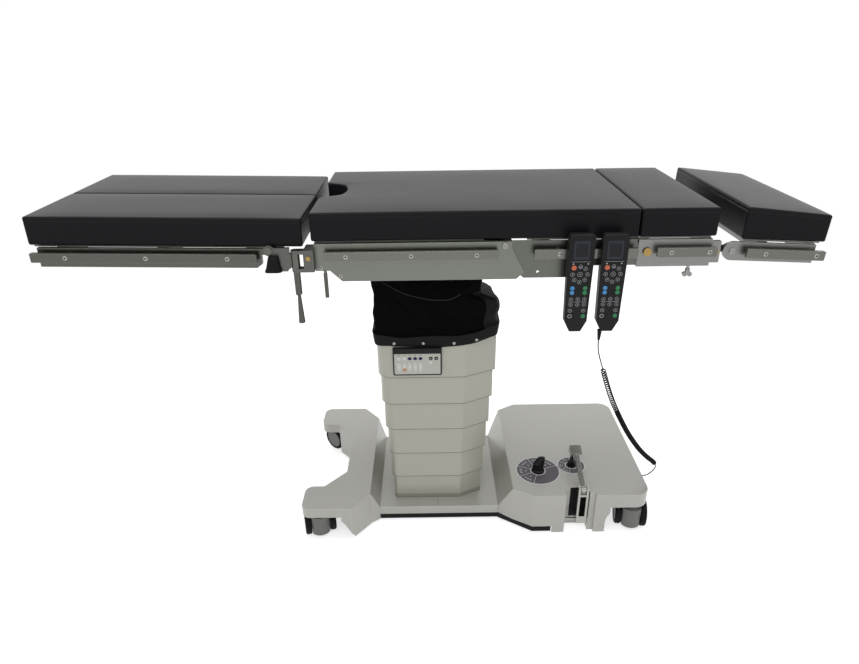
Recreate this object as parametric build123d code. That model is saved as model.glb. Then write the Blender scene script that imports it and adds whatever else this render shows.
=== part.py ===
"""Electric operating table: wheeled base, telescoping column and a jointed top.

Millimetres, +Z up, floor at z = 0. X runs along the table from the leg end
to the head end, and the operator side, with the handsets, faces -Y.
"""
from build123d import *
import math
import os

os.makedirs("parts", exist_ok=True)

# Driving dimensions
PAD_TOP_Z = 1058.0            # lying surface above the floor
PAD_T = 78.0                  # cushion thickness
PAD_HALF_W = 260.0            # half width of every cushion
TABLE_LEG_END_X = -1028.0     # far end of the leg cushions
TABLE_HEAD_END_X = 1034.0     # far end of the head cushion
COLUMN_X = 31.0               # centre line of the column

# Shared fits and small sizes
CUT = 2.0                     # overrun of a cut past the face it opens
SOFT_GAP = 0.3                # clearance of soft pieces and guides
RUN_FIT = 0.05                # radial clearance of shafts and pins
SIDE_GAP = 0.5                # side clearance between plates that turn

# Cushions and the boards under them
BOARD_T = 6.0
BOARD_INSET = 12.0
PAD_EDGE_R = 9.0
PAD_CORNER_R = 16.0
PAD_CROWN = 3.0
PAD_DRAW = 1.5                # how far the sides draw in between corners
PAD_BOTTOM_Z = PAD_TOP_Z - PAD_T
FRAME_TOP_Z = PAD_BOTTOM_Z - BOARD_T
BOARD_HALF_W = PAD_HALF_W - BOARD_INSET

# Accessory side rails, one pair on every section
RAIL_H = 25.0
RAIL_T = 10.0
RAIL_GAP = 12.0
RAIL_DROP = 29.0              # rail's middle below the boards
RAIL_REACH = 24.0             # rail's outer face beyond the cushions
RAIL_END_R = 3.0
SPACER_R = 8.0
SCREW_HEAD_R = 6.3
SCREW_HEAD_H = 2.0
SCREW_SINK_GAP = 0.2
SCREW_HEX_R = 2.6
SCREW_HEX_DEPTH = 1.2
RAIL_MID_Z = FRAME_TOP_Z - RAIL_DROP
RAIL_OUT_Y = PAD_HALF_W + RAIL_REACH
RAIL_IN_Y = RAIL_OUT_Y - RAIL_T
PLATE_OUT_Y = RAIL_IN_Y - RAIL_GAP

# Seat section
SEAT_X0 = -292.0
SEAT_PAD_X0 = -299.0
SEAT_COVER_T = 5.0
SEAT_COVER_H = 103.0
SEAT_COVER_STEP_H = 73.0
SEAT_COVER_STEP_X = -255.0
SEAT_COVER_RAMP_X = -224.0
SEAT_COVER_TIP_X = 257.0
SEAT_COVER_TIP_H = 84.0
SEAT_COVER_HEEL_X = 236.0
SEAT_BEAM_W = 24.0
SEAT_BEAM_SETBACK = 12.0      # beam inside the side plates' outer face
SEAT_BEAM_H = 69.0
SEAT_FILLER_X1 = 90.0
SEAT_RAIL_X0 = -267.0
SEAT_RAIL_X1 = 185.0
SEAT_RAIL_SCREWS_X = (-209.0, -40.0, 129.0)
SEAT_BOARD_X1 = 150.0
SEAT_CROSS_W = 40.0
CUTOUT_DEPTH = 70.0
CUTOUT_HALF_W = 105.0
CUTOUT_R = 34.0
SEAT_COVER_LOW_Z = FRAME_TOP_Z - SEAT_COVER_H
SEAT_COVER_STEP_Z = FRAME_TOP_Z - SEAT_COVER_STEP_H
SEAT_COVER_TIP_Z = FRAME_TOP_Z - SEAT_COVER_TIP_H
SEAT_BEAM_LOW_Z = FRAME_TOP_Z - SEAT_BEAM_H
SEAT_BEAM_OUT_Y = PLATE_OUT_Y - SEAT_BEAM_SETBACK
SEAT_BEAM_IN_Y = SEAT_BEAM_OUT_Y - SEAT_BEAM_W

# Hinge between the seat and the back
BACK_PIVOT_X = 204.0
BACK_PIVOT_DROP = 11.0
BACK_PIN_R = 6.0
PIN_HEAD_R = 9.0
PIN_HEAD_T = 4.0
EAR_BACK = 18.0               # material of a hinge ear behind its pin
HINGE_PAD_X0 = 120.0
HINGE_PAD_X1 = 290.0
BACK_PIVOT_Z = FRAME_TOP_Z - BACK_PIVOT_DROP

# Back section
BACK_X1 = 548.0
BACK_PLATE_T = 6.0
BACK_LOW_H = 102.0
BACK_LOW_X1 = 420.0
BACK_STEP_H = 70.0
BACK_STEP_RUN = 9.0
BACK_TOE_X = 255.0
BACK_RAIL_X0 = 278.0
BACK_RAIL_X1 = 545.0
BACK_RAIL_SCREWS_X = (343.0, 509.0)
BACK_CROSS_X = (306.0, 512.0)
BACK_CROSS_W = 30.0
BACK_CROSS_H = 32.0
BACK_BOARD_X0 = 262.0
BACK_HOLE_X = 293.0
BACK_HOLE_DROP = 86.0
BACK_HOLE_R = 4.0
BACK_LOW_Z = FRAME_TOP_Z - BACK_LOW_H
BACK_STEP_Z = FRAME_TOP_Z - BACK_STEP_H
BACK_HOLE_Z = FRAME_TOP_Z - BACK_HOLE_DROP

# Upper-back section
UPPER_GAP = 1.5
UPPER_PAD_GAP = 3.0
UPPER_PAD_X1 = 750.0
UPPER_PLATE_X1 = 740.0
UPPER_PLATE_H = 73.0
UPPER_END_X1 = 765.0
UPPER_END_H = 57.0
UPPER_END_DROP = 8.0
UPPER_END_T = 14.0
UPPER_RAIL_X0 = 594.0
UPPER_RAIL_X1 = 748.0
UPPER_RAIL_SCREWS_X = (630.0, 728.0)
BUTTON_X = 573.6
BUTTON_DROP = 32.0
BUTTON_R = 11.0
BUTTON_PROUD = 4.0
BUTTON_PLATE_GAP = 0.3
BUTTON_STEM_R = 5.0
BUTTON_STROKE = 2.5
STOP_PIN_X = 756.0
STOP_PIN_R = 5.0
STOP_PIN_PROUD = 3.0
UPPER_PLATE_LOW_Z = FRAME_TOP_Z - UPPER_PLATE_H
UPPER_END_TOP_Z = FRAME_TOP_Z - UPPER_END_DROP
UPPER_END_LOW_Z = UPPER_END_TOP_Z - UPPER_END_H
BUTTON_Z = FRAME_TOP_Z - BUTTON_DROP

# Head section
HEAD_PIVOT_X = 796.0
HEAD_PIVOT_DROP = 34.0
HEAD_DROOP_DEG = 2.8
HEAD_PAD_X0 = 815.0
HEAD_PAD_RISE = 1.0
HEAD_PAD_TOE_T = 74.0
HEAD_LUG_R = 25.0
HEAD_PLATE_X1 = 1011.0
HEAD_PLATE_T = 8.0
HEAD_PLATE_DROP = 10.0
HEAD_PLATE_H = 49.0
HEAD_RAIL_X0 = 825.0
HEAD_RAIL_X1 = 1028.0
HEAD_RAIL_DROP = 4.0
HEAD_RAIL_SCREWS_X = (874.0, 1006.0)
HEAD_CROSS_X = (860.0, 985.0)
HEAD_CROSS_W = 26.0
HEAD_PIN_R = 6.0
HEAD_BOARD_DROP = 9.0
BAR_W = 12.0
BAR_H = 16.0
BAR_SETBACK = 14.0            # bar inside the beams' outer face
BAR_X0 = 578.0
BAR_EAR_R = 14.0
BAR_GUIDE_X0 = 640.0
BAR_GUIDE_LEN = 95.0
BAR_GUIDE_WALL = 8.0
BAR_STAY_W = 12.0
KNOB_X = 698.0
KNOB_STEM_R = 4.0
KNOB_STEM_LEN = 40.0
KNOB_BACK_OFF = 5.0           # clamp screw's tip short of the bar
KNOB_WING_R = 13.0
KNOB_WING_T = 7.0
KNOB_HUB_R = 6.5
KNOB_HUB_H = 15.0
HEAD_PIVOT_Z = FRAME_TOP_Z - HEAD_PIVOT_DROP
HEAD_PLATE_TOP_Z = FRAME_TOP_Z - HEAD_PLATE_DROP
HEAD_PLATE_LOW_Z = HEAD_PLATE_TOP_Z - HEAD_PLATE_H
BAR_MID_Y = SEAT_BEAM_OUT_Y - BAR_SETBACK

# Leg sections, one each side
LEG_TILT_X = -407.0
LEG_TILT_DROP = 13.0
LEG_LIFT_DEG = 1.2
LEG_DROP = 12.0
LEG_PAD_X1 = -321.0
LEG_PAD_SPLIT = 2.0
LEG_PLATE_X1 = -429.0
LEG_PLATE_T = 12.0
LEG_PLATE_H = 63.0
LEG_PLATE_X0 = -1007.0
LEG_RAIL_X0 = -1017.0
LEG_RAIL_X1 = -438.0
LEG_RAIL_DROP = 3.0
LEG_RAIL_SCREWS_X = (-928.0, -722.0, -513.0)
LEG_LUG_R = 14.0
LEG_INNER_BEAM_Y = 22.0
LEG_BEAM_W = 14.0
LEG_BEAM_H = 30.0
LEG_CROSS_X = (-960.0, -700.0, -470.0)
LEG_CROSS_W = 30.0
LEG_BOARD_X1 = -372.0
LEG_PIN_R = 6.0
LEG_TILT_Z = FRAME_TOP_Z - LEG_TILT_DROP
LEG_PLATE_LOW_Z = FRAME_TOP_Z - LEG_PLATE_H

# Knuckle that carries a leg section, and its fork on the seat
SPREAD_X = -340.0
SPREAD_REACH = 10.0           # swing pin beyond the side plates
SPREAD_PIN_R = 5.0
SPREAD_BARREL_R = 11.0
FORK_H = 58.0
FORK_ARM_T = 9.5
FORK_BLOCK_X0 = -318.0
FORK_GAP = 0.4
KNUCKLE_GAP = 1.0
KNUCKLE_T = 10.4
KNUCKLE_X1 = -355.0
KNUCKLE_BITE_R = 7.0
BOOT_H = 39.0
BOOT_X0 = -413.0
BOOT_X1 = -383.0
BOOT_TOP_INSET = 7.0
CATCH_PIN_X = -305.0
CATCH_PIN_RISE = 38.0
CATCH_PIN_R = 6.0
CATCH_PIN_PROUD = 4.0
SPREAD_Y = PLATE_OUT_Y + SPREAD_REACH
FORK_LOW_Z = SEAT_BEAM_LOW_Z
FORK_TOP_Z = FORK_LOW_Z + FORK_H
KNUCKLE_IN_Y = PLATE_OUT_Y + KNUCKLE_GAP
KNUCKLE_OUT_Y = KNUCKLE_IN_Y + KNUCKLE_T
BOOT_TOP_Z = FORK_LOW_Z + BOOT_H
CATCH_PIN_Z = FORK_LOW_Z + CATCH_PIN_RISE

# Clamp lever that hangs under each knuckle
LEVER_HUB_R = 9.0
LEVER_HUB_LEN = 38.0
LEVER_CHEEK_LEN = 26.0
LEVER_SLOT_W = 7.0
LEVER_FOLD_R = 2.5
GRIP_LEN = 92.0
GRIP_R0 = 4.5
GRIP_R1 = 9.0
GRIP_TIP_R = 3.0

# Small release levers under the seat and the back
RELEASE_SEAT_X = -268.0
RELEASE_BACK_X = 504.0
RELEASE_SETBACK = 3.0
RELEASE_STEM_R = 4.0
RELEASE_STEM_LEN = 12.0
RELEASE_LEN = 64.0
RELEASE_W = 10.0
RELEASE_T = 5.0
RELEASE_PIN_R = 2.5
RELEASE_CHEEK_T = 3.0
RELEASE_Y = PLATE_OUT_Y - RELEASE_SETBACK

# Cradle and yoke above the column
TREND_DROP = 105.0            # lower cross shaft below the cradle's top
TREND_SHAFT_R = 12.0
TREND_EAR_IN_Y = 100.0
TREND_EAR_T = 12.0
TREND_EAR_R = 28.0
TILT_DROP = 55.0              # upper cross shaft below the cradle's top
TILT_SHAFT_R = 12.0
TILT_EAR_IN = 60.0
TILT_EAR_T = 12.0
TILT_EAR_HALF_W = 45.0
YOKE_HALF_X = 38.0
YOKE_TOP_RISE = 22.0
YOKE_NECK_HALF_Y = 26.0
CRADLE_T = 12.0
CRADLE_HALF_X = 176.0
CRADLE_TOP_Z = SEAT_BEAM_LOW_Z
TREND_Z = CRADLE_TOP_Z - TREND_DROP
TILT_Z = CRADLE_TOP_Z - TILT_DROP
YOKE_TOP_Z = TREND_Z + YOKE_TOP_RISE

# Column
TIERS = 6
DECK_TOP_Z = 56.0
TIER_FIRST_H = 91.0
TIER_TOP_H = 127.0            # height of the top cover
TIER_GROW = 7.2
TIER_WALL = 2.0
TIER_OVERLAP = 14.0
TIER_LIP_T = 2.0
TIER_SMALL_HALF_X = 136.0
TIER_SMALL_HALF_Y = 151.0
TIER_CHAMFER_X = 68.0
TIER_CHAMFER_Y = 34.0
TIER_ROUND_R = 12.0
TIER_REACH_X = 12.0           # covers further out towards the legs than towards the head
COLUMN_TOP_DROP = 245.0       # top cover below the cradle's top
LIFT_TUBE = 170.0
LIFT_LEN = 266.0              # each of the three lift tubes
LIFT_WALL = 6.0
LIFT_LOW_Z = 30.0
LIFT_STEP_UP = 2.0
HEAD_PLATE_THICK = 12.0        # plate that seats on the top cover
HEAD_PLATE_HALF_X = 95.0
HEAD_PLATE_HALF_Y = 118.0
COLUMN_COVER_TOP_Z = CRADLE_TOP_Z - COLUMN_TOP_DROP
HEAD_PLATE_Z = COLUMN_COVER_TOP_Z
TIER_PITCH = (COLUMN_COVER_TOP_Z - DECK_TOP_Z - TIER_FIRST_H - TIER_TOP_H) / (TIERS - 2)
COLUMN_TRAVEL = COLUMN_COVER_TOP_Z - LIFT_LOW_Z - 2 * LIFT_STEP_UP - LIFT_LEN

# Control panel on the column
PANEL_X0 = -104.0
PANEL_X1 = 39.5
PANEL_H = 90.0
PANEL_HEM_GAP = 4.0
PANEL_T = 8.0
PANEL_R = 5.0
HOOD_H = 17.0
HOOD_PROUD = 4.0
HEM_LAP = 20.0                # cloth hem over the top cover
BELLOWS_HEM_Z = COLUMN_COVER_TOP_Z - HEM_LAP
PANEL_TOP_Z = BELLOWS_HEM_Z - PANEL_HEM_GAP
PANEL_LOW_Z = PANEL_TOP_Z - PANEL_H

# Cloth bellows between the column and the seat
BELLOWS_TOP_Z = CRADLE_TOP_Z - CRADLE_T - SOFT_GAP
BELLOWS_T = 2.5
BELLOWS_GAP = 0.6
BELLOWS_LEVEL_SHARES = (0.0, 0.12, 0.34, 0.52, 0.62, 0.74, 0.9, 1.0)
BELLOWS_SWELL_SHARES = (0.0, 0.0, 0.8, 1.0, 0.55, 0.95, 0.1, -0.6)
BELLOWS_SWELL = 14.0

# Base, deck and covers
SKIN = 3.0                    # wall of the base covers
DECK_X0 = -166.0
DECK_X1 = 222.0
DECK_INSET_Y = 70.0
DECK_LOW_Z = 27.0
DECK_SEAM_X = 24.0
DECK_SEAM_W = 0.8
SEAM_GROOVE = 0.8
DECK_SCREW_GAP = 12.0
DECK_SCREW_R = 3.0
DECK_SCREW_Z = 36.0
FOOT_TOP_Z = 128.0
FOOT_FLARE_Y = 20.0           # foot end wider than the drive end, each side
FOOT_X0 = -404.0
FOOT_X1 = -193.0
FOOT_CHAMFER_X = 56.0
FOOT_CHAMFER_Y = 70.0
FOOT_TOE_W = 110.0
FOOT_TOE_ROUND_R = 26.0
FOOT_DIAG_X = -345.0
FOOT_WAIST_X = -279.5
FOOT_WAIST_Y = 105.0
FOOT_SKIRT_Z = 8.0
FOOT_TIP_Z = 14.0
DRIVE_TOP_Z = 150.0
DRIVE_HALF_Y = 270.0
DRIVE_X0 = 263.0
DRIVE_X1 = 690.0
DRIVE_CHAMFER_X = 62.0
DRIVE_CHAMFER_Y = 38.0
DRIVE_ROUND_R = 42.0
DRIVE_SKIRT_Z = 4.0
DRIVE_STRIP_X1 = 388.0
DRIVE_STRIP_Z = 28.0
ARCH_Z = 93.0
ARCH_RUN = 43.0               # slant of the foot end's arch
ARCH_ROUND_R = 60.0
DRIVE_ARCH_Z = 100.0
DRIVE_ARCH_X = 556.0
DECK_HALF_Y = DRIVE_HALF_Y - DECK_INSET_Y
FOOT_HALF_Y = DRIVE_HALF_Y + FOOT_FLARE_Y
FOOT_TOE_IN_Y = FOOT_HALF_Y - FOOT_TOE_W

# Chassis inside the base
CHASSIS_LOW_Z = 6.0
CHASSIS_TOP_Z = 26.0
CHASSIS_INSET = 3.5
CHASSIS_TAIL_INSET = 50.0
CHASSIS_TAIL_X1 = 545.0
BEAM_LOW_Z = 98.0
BEAM_TOP_Z = 120.0
FOOT_BEAM_X0 = -262.0
DRIVE_BEAM_X0 = 530.0
POST_HALF_Y = 90.0
POST_W = 20.0
CHASSIS_TAIL_HALF_Y = DECK_HALF_Y - CHASSIS_TAIL_INSET

# Casters
WHEEL_R = 44.0
WHEEL_LIFT = 2.5              # the table stands on its lock feet
WHEEL_T = 20.0
TYRE_DEPTH = 11.0
TYRE_ROUND_R = 6.0
HUB_INSET = 1.5
AXLE_R = 5.0
CASTER_TRAIL = 18.0
HOUSING_HALF_W = 28.0
WHEEL_GAP = 0.8
HOUSING_LOW = 32.0            # depth of the housing below the axle
HOUSING_R = 34.0
HOUSING_EDGE_R = 8.0
STEM_R = 8.0
STEM_LEN = 16.0
SWIVEL_R = 22.0
SWIVEL_T = 5.0
SWIVEL_GAP = 1.0
FOOT_CASTER_X = -354.0
FOOT_CASTER_INSET = 36.0
DRIVE_CASTER_X = 645.0
DRIVE_CASTER_INSET = 30.0
CASTER_SWEEP_GAP = 3.0
CASTER_TURNS_DEG = (105.0, -40.0, 80.0, -118.0)
FOOT_CASTER_Y = FOOT_HALF_Y - FOOT_CASTER_INSET
DRIVE_CASTER_Y = DRIVE_HALF_Y - DRIVE_CASTER_INSET

# Lock feet that carry the table at rest
LOCK_FOOT_X = (-229.0, 550.0)
LOCK_FOOT_INSETS = (94.0, 88.0)
LOCK_ROD_R = 9.0
LOCK_PAD_R = 14.0
LOCK_PAD_H = 9.0
LOCK_ROD_TOP_Z = 106.0
LOCK_FOOT_Y = (FOOT_HALF_Y - LOCK_FOOT_INSETS[0], DRIVE_HALF_Y - LOCK_FOOT_INSETS[1])

# Knobs and dials on the drive cover
DIAL_X = 356.0
DIAL_INSET = 128.0            # dial's centre inside the cover's front
DIAL_R = 73.0
DIAL2_X = 471.0
DIAL2_INSET = 154.0
DIAL2_R = 47.0
DIAL_SINK = 1.2
KNOB_BASE_R = 17.0
KNOB_BASE_H = 20.0
KNOB_FIN_W = 15.0
KNOB_FIN_H = 26.0
KNOB_HEEL_SHARE = 0.45        # height of the finger grip's low end
LOCK_KNOB_SHARE = 0.75        # size of the lock knob beside the selector knob
KNOB_SHAFT_R = 6.0
KNOB_SHAFT_LEN = 14.0
KNOB_TURN_DEG = (62.0, 80.0)
DIAL_Y = DIAL_INSET - DRIVE_HALF_Y
DIAL2_Y = DIAL2_INSET - DRIVE_HALF_Y

# Manual pump in its slot
SLOT_X0 = 426.0
SLOT_X1 = 520.0
SLOT_DEPTH = 42.0
SLOT_LEDGE = 22.0
LINK_X0 = 464.0
LINK_X1 = 497.0
LINK_T = 20.0
LINK_INSET = 16.0
LINK_LOW_Z = 34.0
LINK_TOP_Z = 172.0
LINK_WALL = 7.0
LINK_SOLE_H = 27.0            # solid foot of the link below its window
LINK_PIN_R = 5.0
LINK_PIVOT_RISE = 10.0
LINK_MID_SHARE = 0.76
ARM_W = 15.0
ARM_T = 9.0
ARM_LEN = 135.0
ARM_SLOPE_DEG = 19.0
PEDAL_W = 36.0
PEDAL_LEN = 26.0
PEDAL_T = 5.0
PEDAL_LIP = 18.0
LINK_Y = LINK_INSET - DRIVE_HALF_Y

# Handsets
HANDSET_W = 67.0
HANDSET_H = 268.0
HANDSET_T = 23.0
HANDSET_RISE = 58.0           # handset's top above the rail's middle
HANDSET_X = (393.0, 478.0)
HANDSET_CORNER_R = 9.0
HANDSET_EDGE_R = 3.0
HANDSET_TOE = 15.0
HANDSET_SHOULDER = 3.5
SCREEN_W = 42.0
SCREEN_H = 50.0
SCREEN_TOP = 16.0
SCREEN_SINK = 1.0
HOOK_W = 38.0
HOOK_T = 3.0
HOOK_DROP = 34.0
HOOK_ROOT_H = 5.0
RELIEF_R0 = 6.5
RELIEF_R1 = 3.4
RELIEF_LEN = 30.0
RELIEF_X_SHIFT = -15.0
HANDSET_TOP_Z = RAIL_MID_Z + HANDSET_RISE

# Curly cord from the wired handset to the base
WIRE_R = 1.7
CURL_R = 6.3                  # radius of the wire's centre line
CURL_TURNS_OPEN = 22
CURL_TURNS_TIGHT = 70
CURL_OPEN_SHARE = 0.36        # share of the coil's length that is stretched
CURL_RAMP_SHARE = 1.0         # turns over which the coil opens from its axis
CURL_START_SHARE = 0.45       # where on their runs the coil starts and ends
CURL_END_SHARE = 0.55
CURL_STEPS = 24               # points per turn that the gap is measured on
COIL_START_COUNT = 2          # runs of the route before those on which the coil starts and ends
COIL_END_COUNT = 11
MIN_BOW = 1e-6                # a straighter arc than this is drawn as a line
ARC_SHARE = 0.45              # part of a run that an arc at its end may take
SOCKET_PROUD = 10.0
SOCKET_R = 9.0
SOCKET_Y = -128.0
SOCKET_Z = 112.0


def block(x0, x1, y0, y1, z0, z1):
    """A box between six faces."""
    centre = Pos((x0 + x1) / 2, (y0 + y1) / 2, (z0 + z1) / 2)
    return centre * Box(x1 - x0, y1 - y0, z1 - z0)


def prism_y(points, y0, y1):
    """An (x, z) outline drawn out along Y."""
    face = Plane.XZ.offset(-y1) * Polygon(*points, align=None)
    return extrude(face, amount=y1 - y0, dir=(0, -1, 0))


def prism_z(points, z0, z1):
    """An (x, y) outline drawn out along Z."""
    face = Plane.XY.offset(z0) * Polygon(*points, align=None)
    return extrude(face, amount=z1 - z0, dir=(0, 0, 1))


def rod_x(x0, x1, y, z, r):
    place = Pos((x0 + x1) / 2, y, z) * Rot(0, 90, 0)
    return place * Cylinder(r, x1 - x0)


def rod_y(x, y0, y1, z, r):
    place = Pos(x, (y0 + y1) / 2, z) * Rot(90, 0, 0)
    return place * Cylinder(r, y1 - y0)


def rod_z(x, y, z0, z1, r):
    return Pos(x, y, (z0 + z1) / 2) * Cylinder(r, z1 - z0)


def span(side, near, far):
    """The y range between two distances from the centre plane, on one side."""
    return (near, far) if side > 0 else (-far, -near)


def both_sides(make):
    """The same piece on the front and on the rear of the table."""
    return [make(-1), make(1)]


def turned(shape, x, z, degrees):
    """The shape turned about a line along Y."""
    return shape.rotate(Axis((x, 0, z), (0, 1, 0)), degrees)


def solids_of(shapes):
    out = []
    for shape in shapes:
        out.extend(shape.solids())
    return out


def save(name, *shapes):
    """Write the separate solids of one node."""
    solids = solids_of(shapes)
    item = solids[0] if len(solids) == 1 else Compound(children=solids)
    item.label = name
    export_step(item, "parts/" + name + ".step")


def rise(face, z0, z1):
    """A plan face drawn up between two heights."""
    return extrude(Plane.XY.offset(z0) * face, amount=z1 - z0, dir=(0, 0, 1))


def rounded(points, radii):
    """A polygon face whose corners are rounded, none where the radius is zero."""
    face = Polygon(*points, align=None)
    for (x, y), radius in zip(points, radii):
        if radius > 0:
            corner = face.vertices().sort_by_distance((x, y, 0))[0]
            face = fillet(corner, radius)
    return face


def rail(x0, x1, screws, side, mid_z, back_y):
    """A side rail with its stand-offs and sunk hexagon screws."""
    y0, y1 = span(side, RAIL_IN_Y, RAIL_OUT_Y)
    bar = block(x0, x1, y0, y1, mid_z - RAIL_H / 2, mid_z + RAIL_H / 2)
    bar = fillet(bar.edges().filter_by(Axis.Y), RAIL_END_R)
    pieces = []
    for x in screws:
        h0, h1 = span(side, RAIL_OUT_Y - SCREW_HEAD_H, RAIL_OUT_Y + CUT)
        bar -= rod_y(x, h0, h1, mid_z, SCREW_HEAD_R + SCREW_SINK_GAP)
        h0, h1 = span(side, RAIL_OUT_Y - SCREW_HEAD_H, RAIL_OUT_Y)
        head = rod_y(x, h0, h1, mid_z, SCREW_HEAD_R)
        h0, h1 = span(side, RAIL_OUT_Y - SCREW_HEX_DEPTH, RAIL_OUT_Y + CUT)
        hexagon = Plane.XZ.offset(-h1) * Pos(x, mid_z) * RegularPolygon(SCREW_HEX_R, 6)
        head -= extrude(hexagon, amount=h1 - h0)
        s0, s1 = span(side, back_y, RAIL_IN_Y)
        pieces.append(head)
        pieces.append(rod_y(x, s0, s1, mid_z, SPACER_R))
    return [bar] + pieces


def cushion(x0, x1, y0, y1, low_z, top_z, toe_top_z, cut=None):
    """A firm foam cushion: crowned top that may slope to its toe, and drawn-in sides."""
    mid_y = (y0 + y1) / 2
    mid_x = (x0 + x1) / 2
    slack = top_z - low_z
    side0 = y0 - CUT
    side1 = y1 + CUT
    shoulder_z = top_z - PAD_CROWN
    root_z = low_z - slack
    end = ThreePointArc((side0, shoulder_z), (mid_y, top_z), (side1, shoulder_z))
    sides = [
        Line((side1, shoulder_z), (side1, root_z)),
        Line((side1, root_z), (side0, root_z)),
        Line((side0, root_z), (side0, shoulder_z)),
    ]
    slope = math.degrees(math.atan2(top_z - toe_top_z, x1 - x0))
    body = extrude(Plane.YZ.offset(x0 - slack) * make_face([end] + sides), amount=x1 - x0 + 2 * slack)
    body = turned(body, x0, top_z, slope)
    long_edges = [
        ThreePointArc((x0, y0), (mid_x, y0 + PAD_DRAW), (x1, y0)),
        ThreePointArc((x1, y0), (x1 - PAD_DRAW, mid_y), (x1, y1)),
        ThreePointArc((x1, y1), (mid_x, y1 - PAD_DRAW), (x0, y1)),
        ThreePointArc((x0, y1), (x0 + PAD_DRAW, mid_y), (x0, y0)),
    ]
    plan = fillet(make_face(long_edges).vertices(), PAD_CORNER_R)
    body = body & rise(plan, low_z, top_z + slack)
    if cut is not None:
        body -= cut
    crest = body.faces().sort_by(Axis.Z)[-1]
    return fillet(crest.edges(), PAD_EDGE_R)


# Seat section
def seat_cover(side):
    y0, y1 = span(side, PLATE_OUT_Y - SEAT_COVER_T, PLATE_OUT_Y)
    ear_x = BACK_PIVOT_X + EAR_BACK
    points = [
        (SEAT_X0, FRAME_TOP_Z),
        (SEAT_X0, SEAT_COVER_STEP_Z),
        (SEAT_COVER_STEP_X, SEAT_COVER_STEP_Z),
        (SEAT_COVER_RAMP_X, SEAT_COVER_LOW_Z),
        (SEAT_COVER_HEEL_X, SEAT_COVER_LOW_Z),
        (SEAT_COVER_TIP_X, SEAT_COVER_TIP_Z),
        (ear_x, FRAME_TOP_Z - EAR_BACK),
        (ear_x, FRAME_TOP_Z),
    ]
    plate = prism_y(points, y0, y1)
    return plate - rod_y(BACK_PIVOT_X, y0 - CUT, y1 + CUT, BACK_PIVOT_Z, BACK_PIN_R)


def seat_beam(side):
    y0, y1 = span(side, SEAT_BEAM_IN_Y, SEAT_BEAM_OUT_Y)
    beam = block(SEAT_X0, BACK_PIVOT_X + EAR_BACK, y0, y1, SEAT_BEAM_LOW_Z, FRAME_TOP_Z)
    f0, f1 = span(side, SEAT_BEAM_OUT_Y, PLATE_OUT_Y - SEAT_COVER_T)
    beam += block(SEAT_X0, SEAT_FILLER_X1, f0, f1, SEAT_BEAM_LOW_Z, FRAME_TOP_Z)
    return beam - rod_y(BACK_PIVOT_X, y0 - CUT, y1 + CUT, BACK_PIVOT_Z, BACK_PIN_R)


def hinge_pin(side, x, z, near_y, r):
    """A pin with a domed head on the outer face of the side plates."""
    y0, y1 = span(side, near_y, PLATE_OUT_Y)
    h0, h1 = span(side, PLATE_OUT_Y, PLATE_OUT_Y + PIN_HEAD_T)
    head = rod_y(x, h0, h1, z, PIN_HEAD_R)
    outer = head.faces().sort_by(Axis.Y)[-1 if side > 0 else 0]
    head = fillet(outer.edges(), PIN_HEAD_T / 2)
    return rod_y(x, y0, y1, z, r) + head


def leg_fork(side):
    """The seat's fork that holds a leg knuckle, with its catch pin."""
    y0, y1 = span(side, SPREAD_Y - SPREAD_BARREL_R, SPREAD_Y + SPREAD_BARREL_R)
    arm = block(SPREAD_X, FORK_BLOCK_X0, y0, y1, FORK_LOW_Z, FORK_TOP_Z)
    arm += rod_z(SPREAD_X, side * SPREAD_Y, FORK_LOW_Z, FORK_TOP_Z, SPREAD_BARREL_R)
    mouth = block(
        SPREAD_X - SPREAD_BARREL_R - CUT,
        FORK_BLOCK_X0,
        y0 - CUT,
        y1 + CUT,
        FORK_LOW_Z + FORK_ARM_T,
        FORK_TOP_Z - FORK_ARM_T,
    )
    arm -= mouth
    b0, b1 = span(side, SEAT_BEAM_OUT_Y, SPREAD_Y + SPREAD_BARREL_R)
    body = arm + block(FORK_BLOCK_X0, SEAT_X0, b0, b1, FORK_LOW_Z, FORK_TOP_Z)
    c0, c1 = span(side, SEAT_BEAM_IN_Y, SEAT_BEAM_OUT_Y)
    body += block(FORK_BLOCK_X0, SEAT_X0, c0, c1, FORK_LOW_Z, FORK_TOP_Z)
    body -= rod_z(SPREAD_X, side * SPREAD_Y, FORK_LOW_Z - CUT, FORK_TOP_Z + CUT, SPREAD_PIN_R)
    pin_low_z = FORK_LOW_Z - LEVER_HUB_LEN / 2
    pin = rod_z(SPREAD_X, side * SPREAD_Y, pin_low_z, FORK_TOP_Z, SPREAD_PIN_R)
    outer_y = SPREAD_Y + SPREAD_BARREL_R
    p0, p1 = span(side, outer_y, outer_y + CATCH_PIN_PROUD)
    catch = rod_y(CATCH_PIN_X, p0, p1, CATCH_PIN_Z, CATCH_PIN_R)
    return [body, pin, catch]


def release_stem(side, x, top_z):
    """A short forked stem with the pin that a release lever turns on."""
    y = side * RELEASE_Y
    low_z = top_z - RELEASE_STEM_LEN
    half = RELEASE_T / 2
    reach = RELEASE_STEM_R
    stem = rod_z(x, y, low_z, top_z, reach)
    stem -= block(x - reach, x + reach, y - half, y + half, low_z - CUT, top_z - RELEASE_STEM_R)
    return stem + rod_y(x, y - half, y + half, low_z + RELEASE_PIN_R, RELEASE_PIN_R)


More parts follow.
